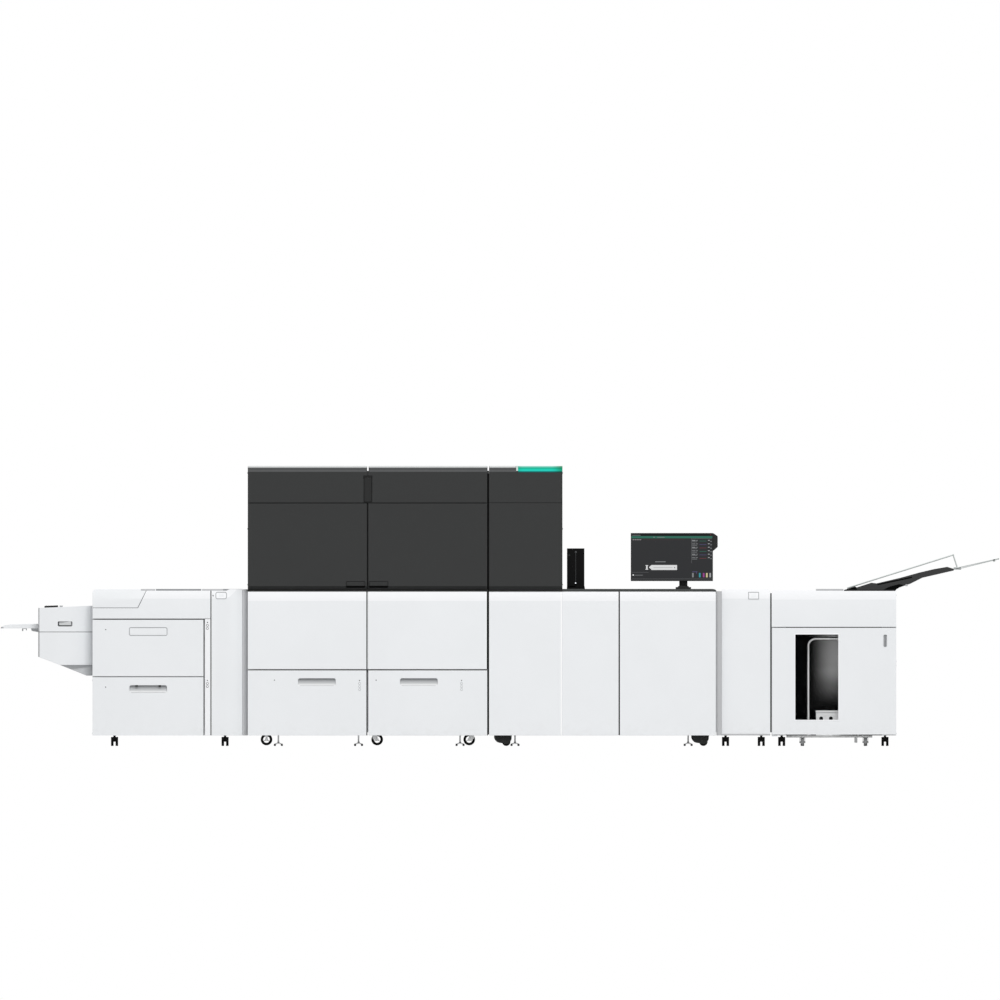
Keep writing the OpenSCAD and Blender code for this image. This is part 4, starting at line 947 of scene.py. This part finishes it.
# A near-black stripe of painted shade runs down the front's right edge, at the joint.
piece("feeder_lower_face", "white_cover", [white, liner_grey_and_painted_shade, black, joint_shade_black, near_black_and_shade],
      [painted_band(front, "x", *span(high.x, -3, 1), 3), *scoop_liner(x, low.y, z), *catches,
       pilot(-2.6265, low.y, 0.392), pilot(-2.613, low.y, 0.381, 2.5, 0)],
      "feeder_lower_drawer_front", body="feeder_lower_drawer")
for level in ("upper", "lower"):
    open_bin(f"feeder_{level}_tray", f"feeder_{level}_drawer_bin", f"feeder_{level}_drawer")

# ---- Side inserter ----
# A moulded two-part housing hung on the feeder's side, which bows back towards the feeder. It has
# a finger grip, a control strip on top and a grey drive box below.

low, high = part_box("inserter_upper_cover")
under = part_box("inserter_lower_cover")[0]
split = low.z + 0.035
recess = extrude("y", rounded(span(low.x, 130, 227), span(split, 0, 34), 8), *span(low.y, -10, 30), 2)
liner = extrude("y", rounded(span(low.x, 138, 219), span(split, 8, 33.5), 5), *span(low.y, 13, 31), 1)
soft_shade = painted("soft_seam_shade", "6a6c6e", 0.8)


def shaved(node, *tools):
    """One half of the housing, bowed back and with a seam near its outer edge."""
    bent = bow(low.x + 0.10, high.x, low.y, 0.075, (under.z, high.z))
    seam = block(span(low.x, 3, 6.5), span(low.y, -10, 5), between(under.z, high.z, -10, 10), 3)
    return formed(node, bent, seam, *tools, edge=1.5)


# Each shell's left edge is painted the trim grey, as painted shade where the face turns away.
piece("inserter_upper_shell", "white_cover",
      [white, painted("grip_grey", "c9cbcc"), painted("grip_shade", "8b8d8f"), soft_shade, interface_grey],
      [painted_band(shaved("inserter_upper_cover", recess), "x", *span(low.x, -10, 3), 4), cut(liner, edge=1)],
      "inserter_upper_cover")
joint = block(between(low.x, high.x, -10, 10), span(low.y, -10, 90), span(low.z, -3.2, 0.4), 3)
piece("inserter_lower_shell", "white_cover", [white, soft_shade, interface_grey, soft_shade],
      [painted_band(shaved("inserter_lower_cover", joint), "x", *span(low.x, -10, 3), 2)], "inserter_lower_cover")
low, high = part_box("inserter_drive_box")
drive_grey = painted("drive_box_coat", "bfc1c3", 0.45, 700, 0.1, 0.01)
drive_bow = bow(low.x, high.x, low.y, 0.045, (low.z, high.z))
piece("inserter_drive_housing", "light_grey", [drive_grey],
      [formed("inserter_drive_box", drive_bow)], "inserter_drive_box")
low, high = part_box("inserter_controls")
keys = [lathe("z", (low.x + 0.014 + 0.0155 * i, low.y + 0.030, high.z - 0.0035),
              [(5, -2), (5, 2), (4, 2.8), (0, 3)], 16, 1) for i in range(5)]
stop = block(span(high.x, 10, 31), (low.y, high.y), span(high.z, -11, -1), 1)
# The keys and the stop take the liner grey, with its painted light and shade.
piece("inserter_control_strip", "black_plastic", [black, liner_grey_and_painted_shade],
      [formed("inserter_controls", edge=1.5), *keys, cut(stop, edge=1)], "inserter_controls")

# ---- Inserter tray ----
# A thin white moulded tray that slopes up to the inserter, with a grey tip and ribs across its
# top. A grey wedge carries it at its root, with a bent hook under it beside the wedge.

low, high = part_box("inserter_tray")
z = low.z + 0.026
leaf = [(low.x + 0.004, z - 0.008), (high.x, z - 0.008), (high.x, high.z),
        *trace(low.x, z, (50, 16.5), (26, 12), (4, 2))]
tip = extrude("y", rect(span(low.x, 0, 19), span(z, -9, 1)), *between(low.y, high.y, -1.5, 1.5), 1)
sill = block(between(low.x, high.x, 4, -1), between(low.y, high.y, -1, 1), span(z, -9.5, 1))
wedge = extrude("y", trace(high.x, z, (-50, -8), (-44, -26), (0, -34), (0, -8)),
                *between(low.y, high.y, 30, -30), 2)
hook = trace(high.x, z, (-108, -8), (-108, -27), (-100, -27), (-100, -13), (-82, -13), (-82, -22),
             (-76, -22), (-76, -8))
hook = extrude("y", hook, *between(low.y, high.y, 50, -50), 3)
slope = [(low.x + 0.06, z + 0.012), (high.x - 0.002, high.z - 0.002),
         (high.x - 0.002, high.z + 0.0015), (low.x + 0.06, z + 0.0185)]
ribs = [extrude("y", slope, *span(low.y, 38 + 43 * i, 42 + 43 * i)) for i in range(7)]
piece("inserter_tray_leaf", "light_grey",
      [white, line_grey, painted("tray_bracket", "c4c6c8"), painted("hook_coat", "a4a6a8")],
      [cut(extrude("y", leaf, low.y, high.y)), sill, cut(tip, edge=1.5), cut(wedge, edge=1), hook, *ribs],
      "inserter_tray")

# ---- Decurler ----
# The narrow white tower that flattens the sheets, on a grey rail, with a blank outlined badge.

low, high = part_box("decurler_tower")
tools, heads = cladding("y", high.y, 1, [low.x, high.x], [low.z, BACK_SEAM_Z, high.z - 0.03])
# The leaning band is painted a brighter white, as a painted highlight.
piece("decurler_cover", "white_cover", [white, line_grey, bright_and_highlight_white],
      [skinned(formed("decurler_tower", *tools, edge=1.8), 2, leaning), *heads,
       *badge((1.653, 1.725), (0.976, 1.026), low.y, high.z, 3)], "decurler_tower")
piece("decurler_base_rail", "light_grey", [trim_grey], [formed("decurler_rail")], "decurler_rail")

# ---- Stacker ----
# The white cabinet in which printed sheets pile up on a cart, black inside. Its front door swings
# on pins at the left; a smoked pane in a white frame shows the cart.

low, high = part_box("stacker_cabinet")
tools, heads = cladding("y", high.y, 1, [low.x, low.x + 0.415, high.x], [0.07, BACK_SEAM_Z, high.z])
more = cladding("x", high.x, 1, [low.y + 0.03, -0.12, high.y], [0.07, 0.55, high.z - 0.02])
bay_low, bay_high = Vector((low.x + 0.093, -0.4905, -1)), Vector((high.x - 0.093, high.y - 0.018, 0.7945))


def in_bay(face):
    """Whether a face lies inside the bay of the cart."""
    return all(a < b < c for a, b, c in zip(bay_low, face.calc_center_median(), bay_high))


housing = skinned(formed("stacker_cabinet", *tools, *more[0], edge=1.8), 1, in_bay)
tray_sill = block((2.291, 2.634), span(low.y, 10.5, 20), span(high.z, -5.3, 1), 1)
top_lip = cut(block((2.104, 2.287), span(low.y, 10.5, 300), span(high.z, -4, 8), 3), edge=1)
bay_black = painted("bay_black", "060606", 0.8, 500, 0.2, shine=0.1)
# The leaning band is painted a brighter white, as a painted highlight.
piece("stacker_housing", "white_cover", [white, bay_black, bright_and_highlight_white, trim_grey],
      [skinned(housing, 2, leaning), top_lip, tray_sill, *heads, *more[1]], "stacker_cabinet")

low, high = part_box("stacker_door")
pane_low, pane_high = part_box("stacker_window")
window = (between(pane_low.x, pane_high.x, 10, -10), between(pane_low.z, pane_high.z, 10, -10))
outer = [between(*side, -8, 8) for side in window]
lip = cut(extrude("y", rounded(*outer, 6), *span(low.y, -1.2, 3)),
          extrude("y", rounded(*window, 4), *span(low.y, -10, 10)), edge=1)
slot_x, slot_z = span(high.x, -85, -62), span(high.z, -128, -46)
slot_liner = extrude("y", rounded(between(*slot_x, 1.5, -1.5), between(*slot_z, 1.5, -1.5), 7),
                     *span(low.y, 6, 12.5), 1)
slot_lip = block(between(*slot_x, 8, -8), span(low.y, 3, 12.5), between(*slot_z, 6, -6), 3)
piece("stacker_door_leaf", "white_cover",
      [white, painted("slot_grey", "a6a8aa"), bright_and_highlight_white, painted("slot_tongue", "808284")],
      [formed("stacker_door", edge=2.2), skinned(lip, 2), cut(slot_liner, edge=0.8),
       cut(slot_lip, edge=1)], "stacker_door", body="stacker_door")
smoked = Finish("smoked_pane", Alpha=0.05, Specular_IOR_Level=0.3)
smoked.feed(Base_Color=smoked.mix(smoked.noise(6.0), "0c0e10", "14171a"),
            Roughness=smoked.noise(40.0) * 0.03 + 0.03)
piece("stacker_pane", "smoked_glass", [smoked], [formed("stacker_window", edge=0.8)], "stacker_window",
      body="stacker_door")

# ---- Stack cart ----
# The rolling cart inside the stacker: a frame of folded sheet on four casters, a pressed deck box
# with lightening holes, a bent tube handle and a dark backstop behind the handle, on which light
# and shade are painted.

low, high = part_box("stack_cart")
cart_x, frame_z = (low.x + high.x) / 2, (0.056, 0.0697)
tray_frame = cut(block(between(low.x, high.x, -27, -34), (low.y, high.y), frame_z),
                 *[block(span(cart_x, a, b), between(low.y, high.y, 60, -60), (0.05, 0.08))
                   for a, b in ((-250, -135), (135, 250))])
# The holes are blind; their walls and floors are painted black as the shade inside the deck box.
holes = [lathe("y", (cart_x + across, low.y + 0.055, 0.183), [(13, 0), (13, 20)], 24, 1)
         for across in (-0.085, -0.02, 0.045)]
deck = block(span(cart_x, -120, 120), between(low.y, high.y, 60, -20), (frame_z[1], high.z))
deck = cut(cut(deck, edge=4, steps=3), *holes, edge=0)
lip_bar = block(span(cart_x, -122, 122), span(low.y, 55, 75), span(high.z, -12, -1))


def mirrored(half, width):
    """A turned part's profile from its first half and its width."""
    return half + [(radius, width - along) for radius, along in half[::-1]]


def caster(x, y, z, r, w):
    """A swivel caster: a bent fork, its plate, and a wheel on its axle; z, r and w are millimetres."""
    cheek = trace(y, 0, (-20, z), (20, z), (10, r - 8), (-10, r - 8))
    fork = [cut(extrude("x", cheek, *span(x, s * (w / 2 + 4.5) - 1.5, s * (w / 2 + 4.5) + 1.5), 2), edge=0.8)
            for s in (-1, 1)]
    crown = block(span(x, -w / 2 - 6, w / 2 + 6), span(y, -22, 22), span(0, z - 4, z), 2)
    rim = [(0, 1), (r * 0.3, 0), (r * 0.55, 3), (r * 0.72, 3), (r * 0.80, 0), (r * 0.97, 1), (r, w * 0.2)]
    wheel = lathe("x", (x - w / 2000, y, r / 1000), mirrored(rim, w), 32, 3)
    axle = lathe("x", (x - w / 2000 - 0.008, y, r / 1000), [(0, 0), (4, 0), (4, w + 16), (0, w + 16)], 16, 2)
    return [*fork, cut(crown, edge=1), wheel, axle]


casters = []
for x in (cart_x - 0.210, cart_x + 0.210):
    for y in (low.y + 0.06, high.y - 0.06):
        casters += caster(x, y, 56, 26, 24)
lock = cut(block(span(cart_x, 136, 156), span(low.y, 20, 40), (0.022, frame_z[0])))
piece("stack_cart_frame", "sheet_metal",
      [painted("cart_coat", "f4f5f5", 0.45, 700, 0.1, 0.02), painted("painted_hole_shade", "0d0d0d", 0.7, 500),
       painted("caster_fork", "a8aaac", 0.4, 800), painted("caster_wheel", "dcdedf", 0.55)],
      [tray_frame, deck, cut(lip_bar), *casters, lock], "stack_cart")


def tube(points, radius, bend):
    """A tube along straight runs with round bends of that radius between them."""
    path, steps, sides = [points[0]], 12, 20
    for before, corner, after in zip(points, points[1:], points[2:]):
        come, go = (corner - before).normalized(), (after - corner).normalized()
        turn = come.angle(go)
        reach = bend * math.tan(turn / 2)
        centre = corner - come * reach + (go - come * come.dot(go)).normalized() * bend
        arm, axis = corner - come * reach - centre, come.cross(go).normalized()
        for i in range(steps + 1):
            angle = turn * i / steps
            path.append(centre + arm * math.cos(angle) + axis.cross(arm) * math.sin(angle))
    path.append(points[-1])
    solid, rings, across = bmesh.new(), [], None
    for i, point in enumerate(path):
        along = (path[min(i + 1, len(path) - 1)] - path[max(i - 1, 0)]).normalized()
        across = across or along.orthogonal().normalized()
        across = (across - along * across.dot(along)).normalized()
        other, turns = along.cross(across), [2 * math.pi * k / sides for k in range(sides)]
        rings.append([solid.verts.new(point + radius * (across * math.cos(turn) + other * math.sin(turn)))
                      for turn in turns])
    return closed(solid, [*walls(rings), rings[0], rings[-1]], 0)


low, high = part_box("cart_handle")
y, r = (low.y + high.y) / 2, 0.009
handle = tube([Vector((x, y, z)) for x, z in ((low.x + r, low.z), (low.x + r, high.z - r),
                                              (high.x - r, high.z - r), (high.x - r, low.z))], r, 0.050)
sockets = [lathe("z", (x, y, low.z), [(16, 0), (16, 4), (12.5, 12), (12.5, 30), (9, 32)], 24)
           for x in (low.x + r, high.x - r)]
# Painted light and shade: near-black low down and at the left, grey to white towards the upper right.
backstop_paint = Finish("backstop_painted_light_and_shade", Roughness=0.7, Specular_IOR_Level=0.05)
painted_light_mask = (backstop_paint.band(backstop_paint.axis("Z"), 0.26, 0.52)
        * backstop_paint.band(backstop_paint.axis("X"), *span(low.x, 15, 210)))
deep = backstop_paint.mix(backstop_paint.band(backstop_paint.axis("Z"), 0.40, 0.60), "a0a0a0", "ffffff")
backstop_paint.feed(Base_Color=backstop_paint.mix(painted_light_mask, "010101", deep))
backstop_paint.relief(300.0, 0.2)
deck_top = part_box("stack_cart")[1].z
inside = rounded(between(low.x, high.x, 14, -14), between(deck_top, high.z, 0.2, 20), 10)
stop_plate = cut(extrude("y", inside, *span(y, 90, 94), 1), edge=1)
foot_strip = block(span(cart_x, -118, 118), span(y, 80, 104), span(deck_top, -1, 4), 1)
tube_steel = painted("tube_coat", "e8e9e9", 0.24, 900, 0.03, 0.01, metal=0.75)
piece("cart_tube_handle", "wire", [tube_steel, backstop_paint],
      [handle, *sockets, stop_plate, foot_strip], "cart_handle")

# ---- Output tray ----
# A dark ribbed moulding that carries the last sheets, hung on the stacker's top and side, with a
# sliding extension of two thin grey leaves and a bent wire that holds the paper down.

tray_black = painted("tray_moulding", "0f1010", 0.6, 600, 0.2, 0.05)
low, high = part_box("output_tray_base")
clip = cut(block((2.700, 2.716), span(low.y, -1, 30), (1.064, 1.076), 1))
ribs = [extrude("y", outline, *span(low.y, -0.8, 2), 2) for outline in (
    [(2.514, 1.0792), (2.744, 1.1278), (2.744, 1.1185), (2.514, 1.0706)],
    [(2.554, 1.0413), (2.637, 1.0413), (2.691, 1.0732), (2.657, 1.0772), (2.597, 1.0619)],
    [(2.321, 1.0413), (2.331, 1.0466), (2.351, 1.0560), (2.364, 1.0560), (2.378, 1.0459), (2.378, 1.0413)])]
piece("output_tray_moulding", "black_plastic", [tray_black, trim_grey, near_black_and_shade],
      [formed("output_tray_base", edge=1), clip, *ribs], "output_tray_base")
low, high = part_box("output_tray_extension")
root, far = (low.x + 0.016, low.z + 0.019), (high.x - 0.0005, high.z + 0.001)
leaves = []
for drop, thick in ((0, 6), (9.5, 5)):
    outline = trace(*root, (0, -drop - thick)) + trace(*far, (0, -drop * 0.35 - thick), (0, -drop * 0.35))
    leaves.append(cut(extrude("y", outline + trace(*root, (0, -drop)), low.y, high.y), edge=1))
length = (high.y - low.y) * 1000 - 8
cross = [lathe("y", (far[0] - 0.034, low.y, far[1] - 0.016), [(0, 0), (8, 0), (9, 4), (9, 30), (0, 30)], 20),
         lathe("y", (far[0] - 0.006, low.y + 0.004, far[1] - 0.005),
               [(0, 0), (5.5, 0), (5.5, length), (0, length)], 16)]
slide_block = block(span(low.x, 0, 50), between(low.y, high.y, 20, -20), span(low.z, 6, 22))
piece("output_tray_leaves", "light_grey", [painted("leaf_coat", "aeb3b2", 0.45, 800, 0.08, 0.01)],
      [*leaves, *cross, cut(slide_block)], "output_tray_extension")
piece("paper_rail", "wire", [painted("wire_coat", "bcc2c0", 0.4, 900, 0.05, 0.01)],
      [formed("output_tray_rail", edge=0)], "output_tray_rail")

# ---- Twin casters ----
# Black nylon twin-wheel casters, a pair of wheels either side of a hooded stem, screwed up into
# the white cabinets with a round plate.

nylon = painted("nylon", "030303", 0.6, 900, 0.1, 0.05, shine=0.12)
WHEEL_R, WHEEL_W, WHEEL_GAP = 30, 17.2, 0.0130
feeder, tower, curl, stack = (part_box(n) for n in ("feeder_cabinet", "interface_tower", "decurler_tower",
                                                  "stacker_cabinet"))
profile = [(0, 0), (0.98, 0), (1, 0.08), (1, 0.9), (0.97, 1), (0.72, 1), (0.66, 0.85), (0.3, 0.85),
           (0.24, 1), (0, 1)]
parts = []
for x in (feeder[0].x + 0.147, tower[0].x + 0.093, curl[0].x + 0.026, curl[1].x - 0.060,
          stack[0].x + 0.067, stack[1].x - 0.075):
    for y in (feeder[0].y + 0.09, feeder[1].y - 0.09):
        for s in (-1, 1):
            parts.append(lathe("x", (x + s * WHEEL_GAP / 2, y, WHEEL_R / 1000),
                               [(WHEEL_R * r, s * WHEEL_W * w) for r, w in profile], 28))
        half = ((23.7, 28), (23.7, 48.5), (16, 54.5), (9.5, 60), (5, 69.5))
        hood = trace(x, 0, *((-a, b) for a, b in half), *half[::-1])
        parts.append(cut(extrude("y", hood, *span(y, -31.2, 31.2))))
        parts.append(lathe("z", (x, y, 0.060), [(0, 0), (7, 0), (7, 8.5), (12, 8.8), (12, 9.8), (0, 9.8)]))
piece("twin_casters", "black_plastic", [nylon], parts, "cabinet_casters")

# ---- Press wheels ----
# Six transport wheels under the press: thick black rubber tyres on pale cast hubs with three
# spokes, each in a bent steel fork screwed to the frame. The feet lift the press off them.

tyre = painted("tyre_rubber", "040404", 0.8, 1400, 0.2, 0.06, shine=0.15)
hub = painted("cast_hub", "ffffff", 0.4, 900, 0.1, 0.02)
steel = painted("bracket_steel", "f6f7f7", 0.5, 700, 0.08, 0.02)
low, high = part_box("press_wheels")
wheel_z, wheel_r, wheel_w = (low.z + high.z) / 2, (high.z - low.z) * 500, 36
rings, brackets = [], []
for x, lean in ((lower.x + 0.125, 0), (seal_x[0] + 0.0646, -1), (upper.x - 0.125, 1)):
    for y in (low.y + 0.018, high.y - 0.018):
        near = (x, y - wheel_w / 2000, wheel_z)
        rim = mirrored([(0, 3), (wheel_r * 0.60, 3), (wheel_r * 0.70, 1), (wheel_r * 0.92, 0), (wheel_r, 6)],
                       wheel_w)
        bore = mirrored([(0, -10), (wheel_r * 0.56, -10)], wheel_w)
        rings.append(cut(lathe("y", near, rim, 40), lathe("y", near, bore, 40), edge=0))
        rings.append(lathe("y", near, mirrored([(0, 1), (9, 1), (10, 3)], wheel_w), 24, 1))
        for turn in (90, 210, 330):
            up, over = math.sin(math.radians(turn)), math.cos(math.radians(turn))
            spoke = [(r * over - w * up, r * up + w * over) for r, w in (
                (6, -3), (wheel_r * 0.58, -2), (wheel_r * 0.58, 2), (6, 3))]
            rings.append(extrude("y", trace(x, wheel_z, *spoke), *span(near[1], 12, wheel_w - 12), 1))
        reach = wheel_w / 2 + 2
        plate = block(span(x, -34, 34), span(y, -reach - 4, reach + 4), span(lower.z, -5, 0))
        brackets.append(cut(plate, edge=1.2))
        fork_z = lower.z - 0.004
        if lean:
            cheek = [*trace(x, fork_z, (lean * 34, 0)),
                     *trace(x, wheel_z, (lean * 30, 4), (lean * 6, -9), (-lean * 6, -6), (-lean * 6, 4)),
                     *trace(x, fork_z, (lean * 6, 0))]
        else:
            cheek = rect(span(x, -7, 7), (wheel_z - 0.009, fork_z))
        for s in (-1, 1):
            brackets.append(cut(extrude("y", cheek, *sorted(span(y, s * reach, s * (reach + 4)))), edge=1))
        far = 2 * reach + 13
        brackets.append(lathe("y", (x, y - (reach + 9) / 1000, wheel_z), [
            (0, 0), (7, 0), (8, 2), (8, 5), (6, 5), (6, far), (8, far), (8, far + 4), (0, far + 5)]))
piece("transport_wheels", "tyre", [tyre, hub], rings, "press_wheels")
piece("wheel_forks", "sheet_metal", [steel], brackets, "wheel_brackets")

# ---- Levelling feet ----
# Ten feet that carry the press and the exit section: a threaded stem with a lock nut, screwed up
# into the frame, over a splayed steel shoe on two rubber pads.

low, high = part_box("levelling_feet")
foot_steel = painted("foot_steel", "f0f1f1", 0.4, 900, 0.05, 0.02)
stem_top, stems, pads = high.z * 1000 - 6, [], []
for x in (lower.x + 0.204, seal_x[0] - 0.0594, upper.x - 0.186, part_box("exit_base")[0].x + 0.173,
          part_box("end_trim")[1].x - 0.223):
    for y in (low.y + 0.03, high.y - 0.03):
        turns = [(5.6 if i % 2 else 4.7, 20 + 2.2 * i) for i in range(29)]
        stems.append(lathe("z", (x, y, 0), [(0, 14), (4.7, 14), *turns, (4.7, stem_top), (0, stem_top)], 16))
        stems.append(lathe("z", (x, y, high.z - 0.010), [(0, 0), (12, 0), (13, 1), (13, 9.5), (0, 9.5)], 6))
        pads.append(lathe("z", (x, y, 0.0195), [(0, 0), (6, 0), (7.5, 1), (7.5, 7), (6, 8), (0, 8)], 6))
        shoe = trace(x, 0, (-29, 7.5), (-29, 14.5), (-7, 22), (7, 22), (29, 14.5), (29, 7.5), (18, 8.5),
                     (6, 14.5), (-6, 14.5), (-18, 8.5))
        stems.append(cut(extrude("y", shoe, *span(y, -22, 22)), edge=1))
        for s in (-1, 1):
            pad = block(sorted(span(x, s * 16.5, s * 30)), span(y, -24, 24), (0, 0.0130))
            pads.append(cut(pad, edge=1.5))
piece("levelling_stems", "sheet_metal", [foot_steel, painted("foot_pad", "101010", 0.7)],
      [*stems, *(skinned(pad, 1) for pad in pads)], "levelling_feet")

# ---- Caster hoods ----
# Black moulded hoods over the exit section's transport casters, rounded at their outer lower
# corner, with the wheel's rim just below them.

low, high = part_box("caster_covers")
HOOD_W = 0.120
hoods = []
for x in (low.x, high.x - HOOD_W):
    for y in (low.y, high.y - HOOD_W):
        outline = trace(x, 0, (0.5, 55), (6, 42), (14, 32), (23, 25), (36, 20.5), (55, 18.5), (66, 14.5),
                        (74, 10.5), (88, 10.5), (97, 15.5), (105, 23.5), (112, 34), (117, 45))
        outline = [(x, high.z), *outline, (x + HOOD_W, high.z)]
        hoods.append(cut(extrude("y", outline, y, y + HOOD_W), edge=4, steps=3))
        hoods.append(lathe("y", (x + 0.68 * HOOD_W, y + HOOD_W / 2 - 0.025, 0.028), [
            (0, 0), (26, 0), (28, 3), (28, 47), (26, 50), (0, 50)], 32, 1))
hood_black = painted("hood_moulding", "131514", 0.6, 700, 0.2, 0.04, shine=0.25)
piece("caster_hoods", "black_plastic", [hood_black, tyre], hoods, "caster_covers")

# ---- Floor, light and camera ----
# A plain white studio: a pale floor that keeps the line's shadow, a soft sky, one broad lamp high
# in front and a weaker one at the left. The camera looks straight at the front from far away.

scene = bpy.context.scene
scene.view_settings.view_transform = "Standard"


def seen(nodes, links):
    """1 for a ray from the camera or by way of metal or glass, 0 for the light's own paths."""
    path = nodes.new("ShaderNodeLightPath")
    ray = path.outputs["Is Camera Ray"]
    for kind in ("Is Glossy Ray", "Is Transmission Ray"):
        either = nodes.new("ShaderNodeMath")
        either.operation = "MAXIMUM"
        links.new(ray, either.inputs[0])
        links.new(path.outputs[kind], either.inputs[1])
        ray = either.outputs[0]
    return ray


sky = bpy.data.worlds.new("sky")
scene.world = sky
sky.use_nodes = True
sky.node_tree.nodes.clear()
nodes, links = sky.node_tree.nodes, sky.node_tree.links
blend = nodes.new("ShaderNodeMixShader")
links.new(seen(nodes, links), blend.inputs[0])
for slot, strength in ((1, 0.46), (2, 1.0)):
    part = nodes.new("ShaderNodeBackground")
    part.inputs["Color"].default_value = (1, 1, 1, 1)
    part.inputs["Strength"].default_value = strength
    links.new(part.outputs[0], blend.inputs[slot])
end = nodes.new("ShaderNodeOutputWorld")
links.new(blend.outputs[0], end.inputs[0])

slab = bmesh.new()
slab.faces.new([slab.verts.new((x, y, 0)) for x, y in rect((-40, 40), (-25, 55))])
floor = hung("floor", mesh_of(slab))
floor_paint = Finish("floor_paint", Roughness=0.9, Specular_IOR_Level=0.1)
pale = floor_paint.mix(floor_paint.noise(1.5), "f8f8f8", "fcfcfc")
look = Tint(floor_paint, seen(floor_paint.tree.nodes, floor_paint.tree.links))
floor_paint.feed(Base_Color=floor_paint.mix(look, "d2d2d2", pale))
floor.data.materials.append(floor_paint.material)


def lamp(name, place, aim, size, watts):
    """A rectangular lamp at a place, aimed at a point."""
    light = bpy.data.lights.new(name, "AREA")
    light.shape, light.size, light.size_y, light.energy = "RECTANGLE", *size, watts
    made = hung(name, light)
    made.location = place
    made.rotation_euler = (Vector(aim) - Vector(place)).to_track_quat("-Z", "Y").to_euler()


lamp("front_lamp", (3.0, -22.0, 27.0), (0, 0, 0.8), (12, 10), 8150)
lamp("side_lamp", (-9.0, -4.0, 3.0), (0, 0, 0.9), (5, 5), 15)

lens = bpy.data.cameras.new("camera")
lens.type, lens.ortho_scale = "ORTHO", 6.66
lens.clip_start, lens.clip_end = 0.1, 200
camera = hung("camera", lens)
camera.location = (0, -30, 1.638)
camera.rotation_euler = (math.pi / 2, 0, 0)
scene.camera = camera
